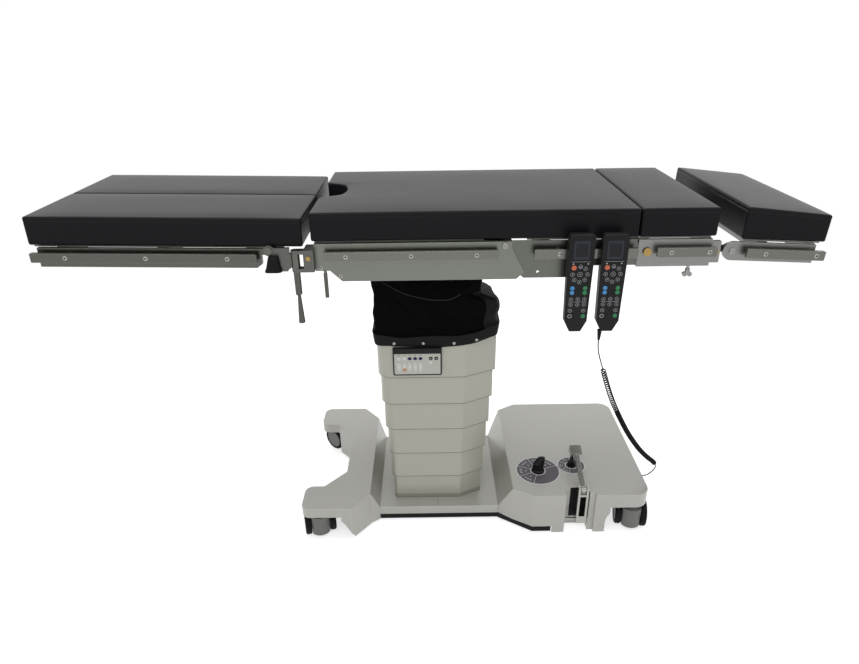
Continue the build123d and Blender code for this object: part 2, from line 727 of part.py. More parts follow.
def release_lever(side, x, top_z):
    """A flat blade that hangs from its stem."""
    y = side * RELEASE_Y
    pin_z = top_z - RELEASE_STEM_LEN + RELEASE_PIN_R
    half_t = RELEASE_T / 2 - SOFT_GAP
    low_z = top_z - RELEASE_STEM_LEN - RELEASE_LEN
    blade = block(x - RELEASE_W / 2, x + RELEASE_W / 2, y - half_t, y + half_t, low_z, pin_z)
    blade = fillet(blade.edges().filter_by(Axis.Y).group_by(Axis.Z)[0], RELEASE_W / 2 - SOFT_GAP)
    eye = rod_y(x, y - half_t, y + half_t, pin_z, RELEASE_W / 2)
    bore = rod_y(x, y - half_t - CUT, y + half_t + CUT, pin_z, RELEASE_PIN_R + RUN_FIT)
    grip_top_z = low_z + RELEASE_LEN * LINK_MID_SHARE
    grip = block(
        x - RELEASE_W / 2,
        x + RELEASE_W / 2,
        y - half_t - RELEASE_CHEEK_T / 2,
        y + half_t + RELEASE_CHEEK_T / 2,
        low_z,
        grip_top_z,
    )
    grip = fillet(grip.edges().filter_by(Axis.Z), RELEASE_CHEEK_T / 2)
    return blade + eye + grip - bore


def make_seat():
    beams = both_sides(seat_beam)
    frame = beams[0] + beams[1]
    for x in (SEAT_X0, COLUMN_X - CRADLE_HALF_X, COLUMN_X + CRADLE_HALF_X - SEAT_CROSS_W):
        frame += block(x, x + SEAT_CROSS_W, -SEAT_BEAM_IN_Y, SEAT_BEAM_IN_Y, SEAT_BEAM_LOW_Z, FRAME_TOP_Z)
    cut = seat_cutout(FRAME_TOP_Z, PAD_BOTTOM_Z)
    board = block(SEAT_X0, SEAT_BOARD_X1, -BOARD_HALF_W, BOARD_HALF_W, FRAME_TOP_Z, PAD_BOTTOM_Z) - cut
    frame -= seat_cutout(SEAT_BEAM_LOW_Z, FRAME_TOP_Z)
    extras = []
    for side in (-1, 1):
        extras.append(hinge_pin(side, BACK_PIVOT_X, BACK_PIVOT_Z, SEAT_BEAM_IN_Y, BACK_PIN_R))
        extras.extend(leg_fork(side))
        extras.append(release_stem(side, RELEASE_SEAT_X, SEAT_COVER_STEP_Z))
    cradle = make_cradle()
    save("seat_frame", frame, board, cradle, *extras)
    rails = []
    for side in (-1, 1):
        rails.extend(rail(SEAT_RAIL_X0, SEAT_RAIL_X1, SEAT_RAIL_SCREWS_X, side, RAIL_MID_Z, PLATE_OUT_Y))
    save("seat_side_covers", *both_sides(seat_cover), *rails)
    pad_cut = seat_cutout(PAD_BOTTOM_Z, PAD_TOP_Z)
    pad = cushion(
        SEAT_PAD_X0,
        HINGE_PAD_X0,
        -PAD_HALF_W,
        PAD_HALF_W,
        PAD_BOTTOM_Z,
        PAD_TOP_Z,
        PAD_TOP_Z,
        pad_cut,
    )
    save("seat_pad", pad)
    zone = cushion(
        HINGE_PAD_X0 + SOFT_GAP,
        HINGE_PAD_X1 - SOFT_GAP,
        -PAD_HALF_W,
        PAD_HALF_W,
        PAD_BOTTOM_Z,
        PAD_TOP_Z,
        PAD_TOP_Z,
    )
    save("pad_hinge_zone", zone)
    for side, word in ((-1, "front"), (1, "rear")):
        save("leg_release_lever_" + word, release_lever(side, RELEASE_SEAT_X, SEAT_COVER_STEP_Z))


def seat_cutout(z0, z1):
    """The rounded notch in the leg end of the seat, as a solid to take away."""
    x0 = SEAT_PAD_X0 - CUT
    x1 = SEAT_PAD_X0 + CUTOUT_DEPTH
    slope = CUTOUT_R
    points = [
        (x0, -CUTOUT_HALF_W),
        (SEAT_PAD_X0 + slope / 2, -CUTOUT_HALF_W + slope / 2),
        (x1, -CUTOUT_HALF_W / 2),
        (x1, CUTOUT_HALF_W / 2),
        (SEAT_PAD_X0 + slope / 2, CUTOUT_HALF_W - slope / 2),
        (x0, CUTOUT_HALF_W),
    ]
    face = rounded(points, (0, CUTOUT_R, CUTOUT_R, CUTOUT_R, CUTOUT_R, 0))
    return rise(face, z0 - CUT, z1 + CUT)


# Cradle, yoke and column
def make_cradle():
    """The casting that hangs under the seat frame and turns on the yoke."""
    low_z = CRADLE_TOP_Z - CRADLE_T
    plate = block(
        COLUMN_X - CRADLE_HALF_X,
        COLUMN_X + CRADLE_HALF_X,
        -SEAT_BEAM_OUT_Y,
        SEAT_BEAM_OUT_Y,
        low_z,
        CRADLE_TOP_Z,
    )
    for sign in (-1, 1):
        x0 = COLUMN_X + sign * (TILT_EAR_IN + TILT_EAR_T / 2) - TILT_EAR_T / 2
        x1 = x0 + TILT_EAR_T
        ear = block(x0, x1, -TILT_EAR_HALF_W, TILT_EAR_HALF_W, TILT_Z, low_z)
        eye_r = TILT_SHAFT_R + TILT_EAR_T
        ear += rod_x(x0, x1, 0, TILT_Z, eye_r)
        plate += ear - rod_x(x0 - CUT, x1 + CUT, 0, TILT_Z, TILT_SHAFT_R + RUN_FIT)
    return plate


def make_yoke():
    """The cross block: one shaft along Y in the column, one along X for the cradle."""
    half_y = TREND_EAR_IN_Y - SIDE_GAP
    low_z = TREND_Z - TREND_SHAFT_R - TREND_EAR_T
    body = block(COLUMN_X - YOKE_HALF_X, COLUMN_X + YOKE_HALF_X, -half_y, half_y, low_z, YOKE_TOP_Z)
    neck_top_z = TILT_Z + TILT_SHAFT_R + TILT_EAR_T / 2
    neck_x = TILT_EAR_IN - SIDE_GAP
    body += block(
        COLUMN_X - neck_x,
        COLUMN_X + neck_x,
        -YOKE_NECK_HALF_Y,
        YOKE_NECK_HALF_Y,
        YOKE_TOP_Z,
        neck_top_z,
    )
    reach = TREND_EAR_IN_Y + TREND_EAR_T
    body += rod_y(COLUMN_X, -reach, reach, TREND_Z, TREND_SHAFT_R)
    reach = TILT_EAR_IN + TILT_EAR_T
    body += rod_x(COLUMN_X - reach, COLUMN_X + reach, 0, TILT_Z, TILT_SHAFT_R)
    save("trend_yoke", body)


def tier_grow(tier):
    """How far a tier stands outside the lowest one; tier 0 is the lowest."""
    return tier * TIER_GROW


def tier_low_z(tier):
    if tier == 0:
        return DECK_TOP_Z
    return DECK_TOP_Z + TIER_FIRST_H + (tier - 1) * TIER_PITCH


def tier_top_z(tier):
    if tier == TIERS - 1:
        return COLUMN_COVER_TOP_Z
    return tier_low_z(tier + 1) + TIER_OVERLAP


def tier_face(grow):
    """The plan of a column cover: two rounded corners and two cut corners."""
    half_x = TIER_SMALL_HALF_X
    half_y = TIER_SMALL_HALF_Y
    points = [
        (COLUMN_X - half_x - TIER_REACH_X, -half_y),
        (COLUMN_X + half_x - TIER_CHAMFER_X, -half_y),
        (COLUMN_X + half_x, -half_y + TIER_CHAMFER_Y),
        (COLUMN_X + half_x, half_y - TIER_CHAMFER_Y),
        (COLUMN_X + half_x - TIER_CHAMFER_X, half_y),
        (COLUMN_X - half_x - TIER_REACH_X, half_y),
    ]
    face = rounded(points, (TIER_ROUND_R, 0, 0, 0, 0, TIER_ROUND_R))
    if grow != 0:
        face = offset(face, amount=grow, kind=Kind.INTERSECTION)
    return face


def ring(outer, inner, z0, z1):
    """The ring between two offsets of the column plan."""
    return rise(tier_face(outer), z0, z1) - rise(tier_face(inner), z0 - CUT, z1 + CUT)


def column_cover(tier):
    """A thin shell with a lip inside its foot and a lip outside its top."""
    grow = tier_grow(tier)
    z0 = tier_low_z(tier)
    z1 = tier_top_z(tier)
    shell = ring(grow, grow - TIER_WALL, z0, z1)
    if tier > 0:
        shell += ring(grow, tier_grow(tier - 1) + SOFT_GAP, z0, z0 + TIER_LIP_T)
    if tier < TIERS - 1:
        reach = tier_grow(tier + 1) - TIER_WALL - SOFT_GAP
        shell += ring(reach, grow - TIER_WALL, z1 - TIER_LIP_T, z1)
    return shell


def square_tube(size, z0, z1):
    half = size / 2
    bore = half - LIFT_WALL
    tube = block(COLUMN_X - half, COLUMN_X + half, -half, half, z0, z1)
    tube -= block(COLUMN_X - bore, COLUMN_X + bore, -bore, bore, z0 - CUT, z1 + CUT)
    return tube


def make_column():
    for tier in range(TIERS):
        shell = column_cover(tier)
        number = TIERS - tier
        if tier == TIERS - 1:
            grow = tier_grow(tier) - TIER_WALL
            lid = rise(tier_face(grow), COLUMN_COVER_TOP_Z - TIER_WALL, COLUMN_COVER_TOP_Z)
            half = LIFT_TUBE / 2 + SIDE_GAP
            hole = block(
                COLUMN_X - half,
                COLUMN_X + half,
                -half,
                half,
                COLUMN_COVER_TOP_Z - TIER_WALL - CUT,
                COLUMN_COVER_TOP_Z + CUT,
            )
            shell += lid - hole
        save("column_cover_" + str(number), shell)
    step = COLUMN_TRAVEL / 2
    middle = LIFT_TUBE - 2 * (LIFT_WALL + SOFT_GAP)
    inner = middle - 2 * (LIFT_WALL + SOFT_GAP)
    z0 = LIFT_LOW_Z + LIFT_STEP_UP + step
    save("lift_tube_middle", square_tube(middle, z0, z0 + LIFT_LEN))
    z0 = LIFT_LOW_Z + 2 * LIFT_STEP_UP + COLUMN_TRAVEL
    tube = square_tube(inner, z0, HEAD_PLATE_Z)
    plate_top_z = HEAD_PLATE_Z + HEAD_PLATE_THICK
    head = tube + block(
        COLUMN_X - HEAD_PLATE_HALF_X,
        COLUMN_X + HEAD_PLATE_HALF_X,
        -HEAD_PLATE_HALF_Y,
        HEAD_PLATE_HALF_Y,
        HEAD_PLATE_Z,
        plate_top_z,
    )
    for side in (-1, 1):
        y0, y1 = span(side, TREND_EAR_IN_Y, TREND_EAR_IN_Y + TREND_EAR_T)
        ear = block(COLUMN_X - TREND_EAR_R, COLUMN_X + TREND_EAR_R, y0, y1, plate_top_z, TREND_Z)
        ear += rod_y(COLUMN_X, y0, y1, TREND_Z, TREND_EAR_R)
        head += ear - rod_y(COLUMN_X, y0 - CUT, y1 + CUT, TREND_Z, TREND_SHAFT_R + RUN_FIT)
    save("lift_tube_inner", head)
    make_yoke()


def make_panel():
    """The keypad box on the front of the top cover, with its black hood."""
    face_y = -(TIER_SMALL_HALF_Y + tier_grow(TIERS - 1))
    box = block(PANEL_X0, PANEL_X1, face_y - PANEL_T, face_y, PANEL_LOW_Z, PANEL_TOP_Z)
    box = fillet(box.edges().filter_by(Axis.Y), PANEL_R)
    hood = block(
        PANEL_X0,
        PANEL_X1,
        face_y - PANEL_T - HOOD_PROUD,
        face_y - PANEL_T,
        PANEL_TOP_Z - HOOD_H,
        PANEL_TOP_Z,
    )
    save("control_panel", box, hood)


def make_bellows():
    """The cloth sleeve: a hem on the top cover, a belly and a drawn-in neck."""
    height = BELLOWS_TOP_Z - BELLOWS_HEM_Z
    base = tier_grow(TIERS - 1) + BELLOWS_GAP
    outer = []
    inner = []
    for level, swell in zip(BELLOWS_LEVEL_SHARES, BELLOWS_SWELL_SHARES):
        z = BELLOWS_HEM_Z + level * height
        grow = base + swell * BELLOWS_SWELL
        outer.append(Plane.XY.offset(z) * tier_face(grow + BELLOWS_T))
        inner.append(Plane.XY.offset(z) * tier_face(grow))
    sleeve = loft(outer, ruled=True) - loft(inner, ruled=True)
    save("bellows", sleeve)


# Back and upper-back sections
def back_plate(side):
    y1_out = SEAT_BEAM_OUT_Y + SIDE_GAP + BACK_PLATE_T
    y0, y1 = span(side, SEAT_BEAM_OUT_Y + SIDE_GAP, y1_out)
    ear_x = BACK_PIVOT_X - EAR_BACK
    points = [
        (ear_x, FRAME_TOP_Z),
        (ear_x, BACK_PIVOT_Z - EAR_BACK),
        (BACK_TOE_X, BACK_LOW_Z),
        (BACK_LOW_X1, BACK_LOW_Z),
        (BACK_LOW_X1 + BACK_STEP_RUN, BACK_STEP_Z),
        (BACK_X1, BACK_STEP_Z),
        (BACK_X1, FRAME_TOP_Z),
    ]
    plate = prism_y(points, y0, y1)
    plate -= rod_y(BACK_PIVOT_X, y0 - CUT, y1 + CUT, BACK_PIVOT_Z, BACK_PIN_R + RUN_FIT)
    return plate - rod_y(BACK_HOLE_X, y0 - CUT, y1 + CUT, BACK_HOLE_Z, BACK_HOLE_R)


def make_back():
    plates = both_sides(back_plate)
    frame = plates[0] + plates[1]
    inner_y = SEAT_BEAM_OUT_Y + SIDE_GAP
    top_z = FRAME_TOP_Z
    for x in BACK_CROSS_X:
        bar = block(
            x - BACK_CROSS_W / 2,
            x + BACK_CROSS_W / 2,
            -inner_y,
            inner_y,
            top_z - BACK_CROSS_H,
            top_z,
        )
        frame += bar
    board = block(BACK_BOARD_X0, BACK_X1, -BOARD_HALF_W, BOARD_HALF_W, FRAME_TOP_Z, PAD_BOTTOM_Z)
    rails = []
    plate_face = inner_y + BACK_PLATE_T
    for side in (-1, 1):
        rails.extend(rail(BACK_RAIL_X0, BACK_RAIL_X1, BACK_RAIL_SCREWS_X, side, RAIL_MID_Z, plate_face))
    stem = release_stem(-1, RELEASE_BACK_X, BACK_STEP_Z)
    save("back_frame", frame, board, stem, *rails)
    pad = cushion(
        HINGE_PAD_X1,
        BACK_X1,
        -PAD_HALF_W,
        PAD_HALF_W,
        PAD_BOTTOM_Z,
        PAD_TOP_Z,
        PAD_TOP_Z,
    )
    save("back_pad", pad)
    save("back_release_lever", release_lever(-1, RELEASE_BACK_X, BACK_STEP_Z))


def upper_plate(side):
    """A side channel with its end block and the bar guide, open inwards for the stay."""
    x0 = BACK_X1 + UPPER_GAP
    in_y = SEAT_BEAM_OUT_Y
    y0, y1 = span(side, in_y, PLATE_OUT_Y)
    plate = block(x0, UPPER_PLATE_X1, y0, y1, UPPER_PLATE_LOW_Z, FRAME_TOP_Z)
    e0, e1 = span(side, in_y - BAR_GUIDE_WALL / 2, in_y - BAR_GUIDE_WALL / 2 + UPPER_END_T)
    plate += block(UPPER_PLATE_X1, UPPER_END_X1, e0, e1, UPPER_END_LOW_Z, UPPER_END_TOP_Z)
    g0, g1 = span(side, BAR_MID_Y - BAR_W / 2 - BAR_GUIDE_WALL, in_y)
    half_h = BAR_H / 2 + BAR_GUIDE_WALL
    guide = block(
        BAR_GUIDE_X0,
        BAR_GUIDE_X0 + BAR_GUIDE_LEN,
        g0,
        g1,
        HEAD_PIVOT_Z - half_h,
        HEAD_PIVOT_Z + half_h,
    )
    plate += guide
    open_y = BAR_MID_Y - BAR_W / 2 - BAR_GUIDE_WALL - CUT
    s0, s1 = span(side, open_y, BAR_MID_Y + BAR_W / 2 + SOFT_GAP)
    plate -= block(
        BAR_GUIDE_X0 - CUT,
        UPPER_END_X1 + CUT,
        s0,
        s1,
        HEAD_PIVOT_Z - BAR_H / 2 - SOFT_GAP,
        HEAD_PIVOT_Z + BAR_H / 2 + SOFT_GAP,
    )
    knob_y = side * BAR_MID_Y
    plate -= rod_z(KNOB_X, knob_y, HEAD_PIVOT_Z - half_h - CUT, HEAD_PIVOT_Z, KNOB_STEM_R + RUN_FIT)
    plate -= rod_y(BUTTON_X, y0 - CUT, y1 + CUT, BUTTON_Z, BUTTON_STEM_R + RUN_FIT)
    return plate


def make_upper_back():
    plates = both_sides(upper_plate)
    x0 = BACK_X1 + UPPER_GAP
    in_y = SEAT_BEAM_OUT_Y
    low_z = HEAD_PIVOT_Z + BAR_H / 2 + BAR_GUIDE_WALL
    frame = plates[0] + plates[1]
    for x in (x0, UPPER_PLATE_X1 - BACK_CROSS_W):
        frame += block(x, x + BACK_CROSS_W, -in_y, in_y, low_z, FRAME_TOP_Z)
    tongue = block(
        BACK_CROSS_X[1] + BACK_CROSS_W / 2,
        x0,
        -SEAT_BEAM_IN_Y,
        SEAT_BEAM_IN_Y,
        low_z,
        FRAME_TOP_Z,
    )
    frame += tongue
    board = block(x0, UPPER_PLATE_X1, -BOARD_HALF_W, BOARD_HALF_W, FRAME_TOP_Z, PAD_BOTTOM_Z)
    extras = []
    for side in (-1, 1):
        extras.extend(rail(UPPER_RAIL_X0, UPPER_RAIL_X1, UPPER_RAIL_SCREWS_X, side, RAIL_MID_Z, PLATE_OUT_Y))
        end_y = SEAT_BEAM_OUT_Y - BAR_GUIDE_WALL / 2 + UPPER_END_T
        p0, p1 = span(side, end_y, end_y + STOP_PIN_PROUD)
        extras.append(rod_y(STOP_PIN_X, p0, p1, HEAD_PIVOT_Z, STOP_PIN_R))
    save("upper_back_frame", frame, board, *extras)
    pad = cushion(
        BACK_X1 + UPPER_PAD_GAP,
        UPPER_PAD_X1,
        -PAD_HALF_W,
        PAD_HALF_W,
        PAD_BOTTOM_Z,
        PAD_TOP_Z,
        PAD_TOP_Z,
    )
    save("upper_back_pad", pad)
    for side, word in ((-1, "front"), (1, "rear")):
        face_y = PLATE_OUT_Y + BUTTON_PLATE_GAP + BUTTON_STROKE
        c0, c1 = span(side, face_y, face_y + BUTTON_PROUD)
        cap = rod_y(BUTTON_X, c0, c1, BUTTON_Z, BUTTON_R)
        outer = cap.faces().sort_by(Axis.Y)[-1 if side > 0 else 0]
        cap = fillet(outer.edges(), BUTTON_PROUD / 4)
        s0, s1 = span(side, SEAT_BEAM_OUT_Y, face_y)
        save("release_button_" + word, cap + rod_y(BUTTON_X, s0, s1, BUTTON_Z, BUTTON_STEM_R))


# Head section
def head_bar(side):
    y0, y1 = span(side, BAR_MID_Y - BAR_W / 2, BAR_MID_Y + BAR_W / 2)
    bar = block(BAR_X0, HEAD_PIVOT_X, y0, y1, HEAD_PIVOT_Z - BAR_H / 2, HEAD_PIVOT_Z + BAR_H / 2)
    bar += rod_y(HEAD_PIVOT_X, y0, y1, HEAD_PIVOT_Z, BAR_EAR_R)
    return bar - rod_y(HEAD_PIVOT_X, y0 - CUT, y1 + CUT, HEAD_PIVOT_Z, HEAD_PIN_R + RUN_FIT)


def head_plate(side):
    """A side plate whose rounded lug turns beside the bar's ear."""
    y0, y1 = span(side, PLATE_OUT_Y - HEAD_PLATE_T, PLATE_OUT_Y)
    points = [
        (HEAD_PIVOT_X, HEAD_PIVOT_Z + HEAD_LUG_R),
        (HEAD_PIVOT_X, HEAD_PIVOT_Z - HEAD_LUG_R),
        (HEAD_PLATE_X1, HEAD_PLATE_LOW_Z),
        (HEAD_PLATE_X1, HEAD_PLATE_TOP_Z),
    ]
    plate = prism_y(points, y0, y1) + rod_y(HEAD_PIVOT_X, y0, y1, HEAD_PIVOT_Z, HEAD_LUG_R)
    b0, b1 = span(side, BAR_MID_Y + BAR_W / 2 + SIDE_GAP, PLATE_OUT_Y - HEAD_PLATE_T)
    plate += rod_y(HEAD_PIVOT_X, b0, b1, HEAD_PIVOT_Z, BAR_EAR_R)
    bore0, bore1 = span(side, BAR_MID_Y, RAIL_OUT_Y)
    return plate - rod_y(HEAD_PIVOT_X, bore0, bore1, HEAD_PIVOT_Z, HEAD_PIN_R)


def make_head():
    bars = both_sides(head_bar)
    stay = block(
        BAR_X0,
        BAR_X0 + BAR_STAY_W,
        -BAR_MID_Y,
        BAR_MID_Y,
        HEAD_PIVOT_Z - BAR_H / 2,
        HEAD_PIVOT_Z + BAR_H / 2,
    )
    save("head_bars", bars[0] + bars[1] + stay)
    inner_y = PLATE_OUT_Y - HEAD_PLATE_T
    plates = both_sides(head_plate)
    frame = plates[0] + plates[1]
    board_low_z = FRAME_TOP_Z - HEAD_BOARD_DROP
    for x in HEAD_CROSS_X:
        frame += block(x, x + HEAD_CROSS_W, -inner_y, inner_y, board_low_z - HEAD_CROSS_W, board_low_z)
    board = block(
        HEAD_PAD_X0 + PAD_EDGE_R,
        TABLE_HEAD_END_X - PAD_EDGE_R,
        -BOARD_HALF_W,
        BOARD_HALF_W,
        board_low_z,
        board_low_z + BOARD_T,
    )
    rail_z = RAIL_MID_Z - HEAD_RAIL_DROP
    pieces = [frame, board]
    for side in (-1, 1):
        pieces.append(hinge_pin(side, HEAD_PIVOT_X, HEAD_PIVOT_Z, BAR_MID_Y - BAR_W / 2, HEAD_PIN_R))
        pieces.extend(rail(HEAD_RAIL_X0, HEAD_RAIL_X1, HEAD_RAIL_SCREWS_X, side, rail_z, PLATE_OUT_Y))
    save("head_frame", *[turned(p, HEAD_PIVOT_X, HEAD_PIVOT_Z, HEAD_DROOP_DEG) for p in pieces])
    pad_low_z = board_low_z + BOARD_T
    pad = cushion(
        HEAD_PAD_X0,
        TABLE_HEAD_END_X,
        -PAD_HALF_W,
        PAD_HALF_W,
        pad_low_z,
        PAD_TOP_Z + HEAD_PAD_RISE,
        pad_low_z + HEAD_PAD_TOE_T,
    )
    save("head_pad", turned(pad, HEAD_PIVOT_X, HEAD_PIVOT_Z, HEAD_DROOP_DEG))
    low_z = HEAD_PIVOT_Z - BAR_H / 2 - BAR_GUIDE_WALL
    for side, word in ((-1, "front"), (1, "rear")):
        y = side * BAR_MID_Y
        top_z = HEAD_PIVOT_Z - BAR_H / 2 - KNOB_BACK_OFF
        wing_top_z = low_z - KNOB_STEM_LEN
        knob = rod_z(KNOB_X, y, wing_top_z, top_z, KNOB_STEM_R)
        knob += rod_z(KNOB_X, y, wing_top_z - KNOB_HUB_H, wing_top_z, KNOB_HUB_R)
        for sign in (-1, 1):
            wing = rod_y(
                KNOB_X + sign * KNOB_WING_R / 2,
                y - KNOB_WING_T / 2,
                y + KNOB_WING_T / 2,
                wing_top_z - KNOB_HUB_H,
                KNOB_WING_R / 2,
            )
            knob += wing
        save("head_clamp_knob_" + word, knob)


# Leg sections
def leg_turned(shape):
    return turned(shape, LEG_TILT_X, LEG_TILT_Z, LEG_LIFT_DEG)


def leg_frame(side):
    """One leg section's channel, board and rail, before its small upward lift."""
    board_top_z = PAD_BOTTOM_Z - LEG_DROP
    top_z = board_top_z - BOARD_T
    y0, y1 = span(side, PLATE_OUT_Y - LEG_PLATE_T, PLATE_OUT_Y)
    bite = LEG_PLATE_X1 - LEG_TILT_X
    points = [
        (LEG_PLATE_X0, top_z),
        (LEG_PLATE_X0, LEG_PLATE_LOW_Z),
        (LEG_PLATE_X1 - LEG_LUG_R, LEG_PLATE_LOW_Z),
        (LEG_PLATE_X1, LEG_PLATE_LOW_Z - bite / 2),
        (LEG_PLATE_X1, LEG_TILT_Z - LEG_LUG_R),
        (LEG_TILT_X, LEG_TILT_Z - LEG_LUG_R),
        (LEG_TILT_X, top_z),
    ]
    plate = prism_y(points, y0, y1) + rod_y(LEG_TILT_X, y0, y1, LEG_TILT_Z, LEG_LUG_R)
    plate -= block(
        LEG_TILT_X - LEG_LUG_R - CUT,
        LEG_TILT_X + LEG_LUG_R + CUT,
        y0 - CUT,
        y1 + CUT,
        board_top_z - SOFT_GAP,
        board_top_z + LEG_LUG_R,
    )
    low_z = top_z - LEG_BEAM_H
    i0, i1 = span(side, LEG_INNER_BEAM_Y, LEG_INNER_BEAM_Y + LEG_BEAM_W)
    frame = plate + block(LEG_PLATE_X0, LEG_PLATE_X1, i0, i1, low_z, top_z)
    c0, c1 = span(side, LEG_INNER_BEAM_Y, PLATE_OUT_Y - LEG_PLATE_T)
    for x in LEG_CROSS_X:
        frame += block(x, x + LEG_CROSS_W, c0, c1, low_z, top_z)
    frame -= rod_y(LEG_TILT_X, y0 - CUT, y1 + CUT, LEG_TILT_Z, LEG_PIN_R + RUN_FIT)
    b0, b1 = span(side, LEG_PAD_SPLIT + PAD_EDGE_R, BOARD_HALF_W)
    board = block(TABLE_LEG_END_X + PAD_EDGE_R, LEG_BOARD_X1, b0, b1, top_z, board_top_z)
    rails = rail(LEG_RAIL_X0, LEG_RAIL_X1, LEG_RAIL_SCREWS_X, side, RAIL_MID_Z - LEG_RAIL_DROP, PLATE_OUT_Y)
    return [frame, board] + rails


def leg_knuckle(side):
    """The barrel on the fork's pin, the arm to the tilt bolt and the black boot."""
    barrel_top_z = FORK_TOP_Z - FORK_ARM_T - FORK_GAP
    barrel_low_z = FORK_LOW_Z + FORK_ARM_T + FORK_GAP
    y0, y1 = span(side, KNUCKLE_IN_Y, KNUCKLE_OUT_Y)
    arm = block(LEG_TILT_X, KNUCKLE_X1, y0, y1, LEG_TILT_Z - LEG_LUG_R, LEG_TILT_Z + LEG_LUG_R / 2)
    arm += block(BOOT_X1, KNUCKLE_X1, y0, y1, FORK_LOW_Z, FORK_TOP_Z)
    arm += rod_y(LEG_TILT_X, y0, y1, LEG_TILT_Z, LEG_LUG_R)
    arm -= rod_y(KNUCKLE_X1, y0 - CUT, y1 + CUT, FORK_LOW_Z, KNUCKLE_BITE_R)
    web = block(KNUCKLE_X1, SPREAD_X, y0, y1, barrel_low_z, barrel_top_z)
    arm += web + rod_z(SPREAD_X, side * SPREAD_Y, barrel_low_z, barrel_top_z, SPREAD_BARREL_R)
    arm -= rod_z(
        SPREAD_X,
        side * SPREAD_Y,
        barrel_low_z - CUT,
        barrel_top_z + CUT,
        SPREAD_PIN_R + RUN_FIT,
    )
    arm -= rod_y(LEG_TILT_X, y0 - CUT, y1 + CUT, LEG_TILT_Z, LEG_PIN_R)
    p0, p1 = span(side, PLATE_OUT_Y - LEG_PLATE_T, KNUCKLE_OUT_Y)
    bolt = rod_y(LEG_TILT_X, p0, p1, LEG_TILT_Z, LEG_PIN_R)
    h0, h1 = span(side, KNUCKLE_OUT_Y, KNUCKLE_OUT_Y + PIN_HEAD_T)
    bolt += rod_y(LEG_TILT_X, h0, h1, LEG_TILT_Z, PIN_HEAD_R)
    boot_points = [
        (BOOT_X0, FORK_LOW_Z),
        (BOOT_X1, FORK_LOW_Z),
        (BOOT_X1, BOOT_TOP_Z),
        (BOOT_X0 + BOOT_TOP_INSET, BOOT_TOP_Z),
    ]
    boot = prism_y(boot_points, y0, y1)
    return [arm, bolt, boot]


def clamp_lever(side):
    """The lever's hub on the fork's pin, with two cheeks for the folding grip."""
    y = side * SPREAD_Y
    top_z = FORK_LOW_Z - FORK_GAP
    cheek_low_z = top_z - LEVER_HUB_LEN - LEVER_CHEEK_LEN
    hub = rod_z(SPREAD_X, y, cheek_low_z, top_z, LEVER_HUB_R)
    half = LEVER_SLOT_W / 2
    hub -= block(
        SPREAD_X - LEVER_HUB_R - CUT,
        SPREAD_X + LEVER_HUB_R + CUT,
        y - half,
        y + half,
        cheek_low_z - CUT,
        top_z - LEVER_HUB_LEN,
    )
    pin_low_z = FORK_LOW_Z - LEVER_HUB_LEN / 2
    hub -= rod_z(SPREAD_X, y, pin_low_z - FORK_GAP, top_z + CUT, SPREAD_PIN_R + RUN_FIT)
    fold_z = cheek_low_z + LEVER_HUB_R
    return hub + rod_y(SPREAD_X, y - half, y + half, fold_z, LEVER_FOLD_R)


def clamp_grip(side):
    """The folding grip: a tongue between the cheeks and a tapered handle."""
    y = side * SPREAD_Y
    fold_z = FORK_LOW_Z - FORK_GAP - LEVER_HUB_LEN - LEVER_CHEEK_LEN + LEVER_HUB_R
    half = LEVER_SLOT_W / 2 - SOFT_GAP
    eye_r = LEVER_HUB_R - CUT
    tongue = rod_y(SPREAD_X, y - half, y + half, fold_z, eye_r)
    handle_top_z = fold_z - LEVER_HUB_R - eye_r / 2
    tongue += block(SPREAD_X - GRIP_R0, SPREAD_X + GRIP_R0, y - half, y + half, handle_top_z, fold_z)
    low_z = fold_z - GRIP_LEN
    length = handle_top_z - low_z
    handle = Pos(SPREAD_X, y, low_z + length / 2) * Cone(GRIP_R1, GRIP_R0, length)
    handle = fillet(handle.faces().sort_by(Axis.Z)[0].edges(), GRIP_TIP_R)
    bore = rod_y(SPREAD_X, y - half - CUT, y + half + CUT, fold_z, LEVER_FOLD_R + RUN_FIT)
    return tongue + handle - bore


def make_legs():
    for side, word in ((-1, "front"), (1, "rear")):
        save("leg_frame_" + word, *[leg_turned(p) for p in leg_frame(side)])
        y0, y1 = span(side, LEG_PAD_SPLIT / 2, PAD_HALF_W)
        top_z = PAD_TOP_Z - LEG_DROP
        pad = cushion(TABLE_LEG_END_X, LEG_PAD_X1, y0, y1, PAD_BOTTOM_Z - LEG_DROP, top_z, top_z)
        save("leg_pad_" + word, leg_turned(pad))
        save("leg_knuckle_" + word, *leg_knuckle(side))
        save("leg_clamp_lever_" + word, clamp_lever(side))
        save("leg_clamp_grip_" + word, clamp_grip(side))


# Base
def foot_points():
    x1 = FOOT_X1
    half = FOOT_HALF_Y
    quarter = [
        (x1, half - FOOT_CHAMFER_Y),
        (x1 - FOOT_CHAMFER_X, half),
        (FOOT_X0, half),
        (FOOT_X0, FOOT_TOE_IN_Y),
        (FOOT_DIAG_X, FOOT_TOE_IN_Y),
        (FOOT_WAIST_X, FOOT_WAIST_Y),
    ]
    mirrored = [(x, -y) for x, y in reversed(quarter)]
    return quarter + mirrored


def foot_face(inset):
    r = FOOT_TOE_ROUND_R
    radii = (0, 0, r, r, 0, 0, 0, 0, r, r, 0, 0)
    face = rounded(foot_points(), radii)
    if inset > 0:
        face = offset(face, amount=-inset, kind=Kind.INTERSECTION)
    return face


def sweep_r():
    """The radius that a swivelling caster sweeps."""
    reach = CASTER_TRAIL + WHEEL_R
    half = HOUSING_HALF_W + WHEEL_GAP + WHEEL_T
    return math.hypot(reach, half) + CASTER_SWEEP_GAP


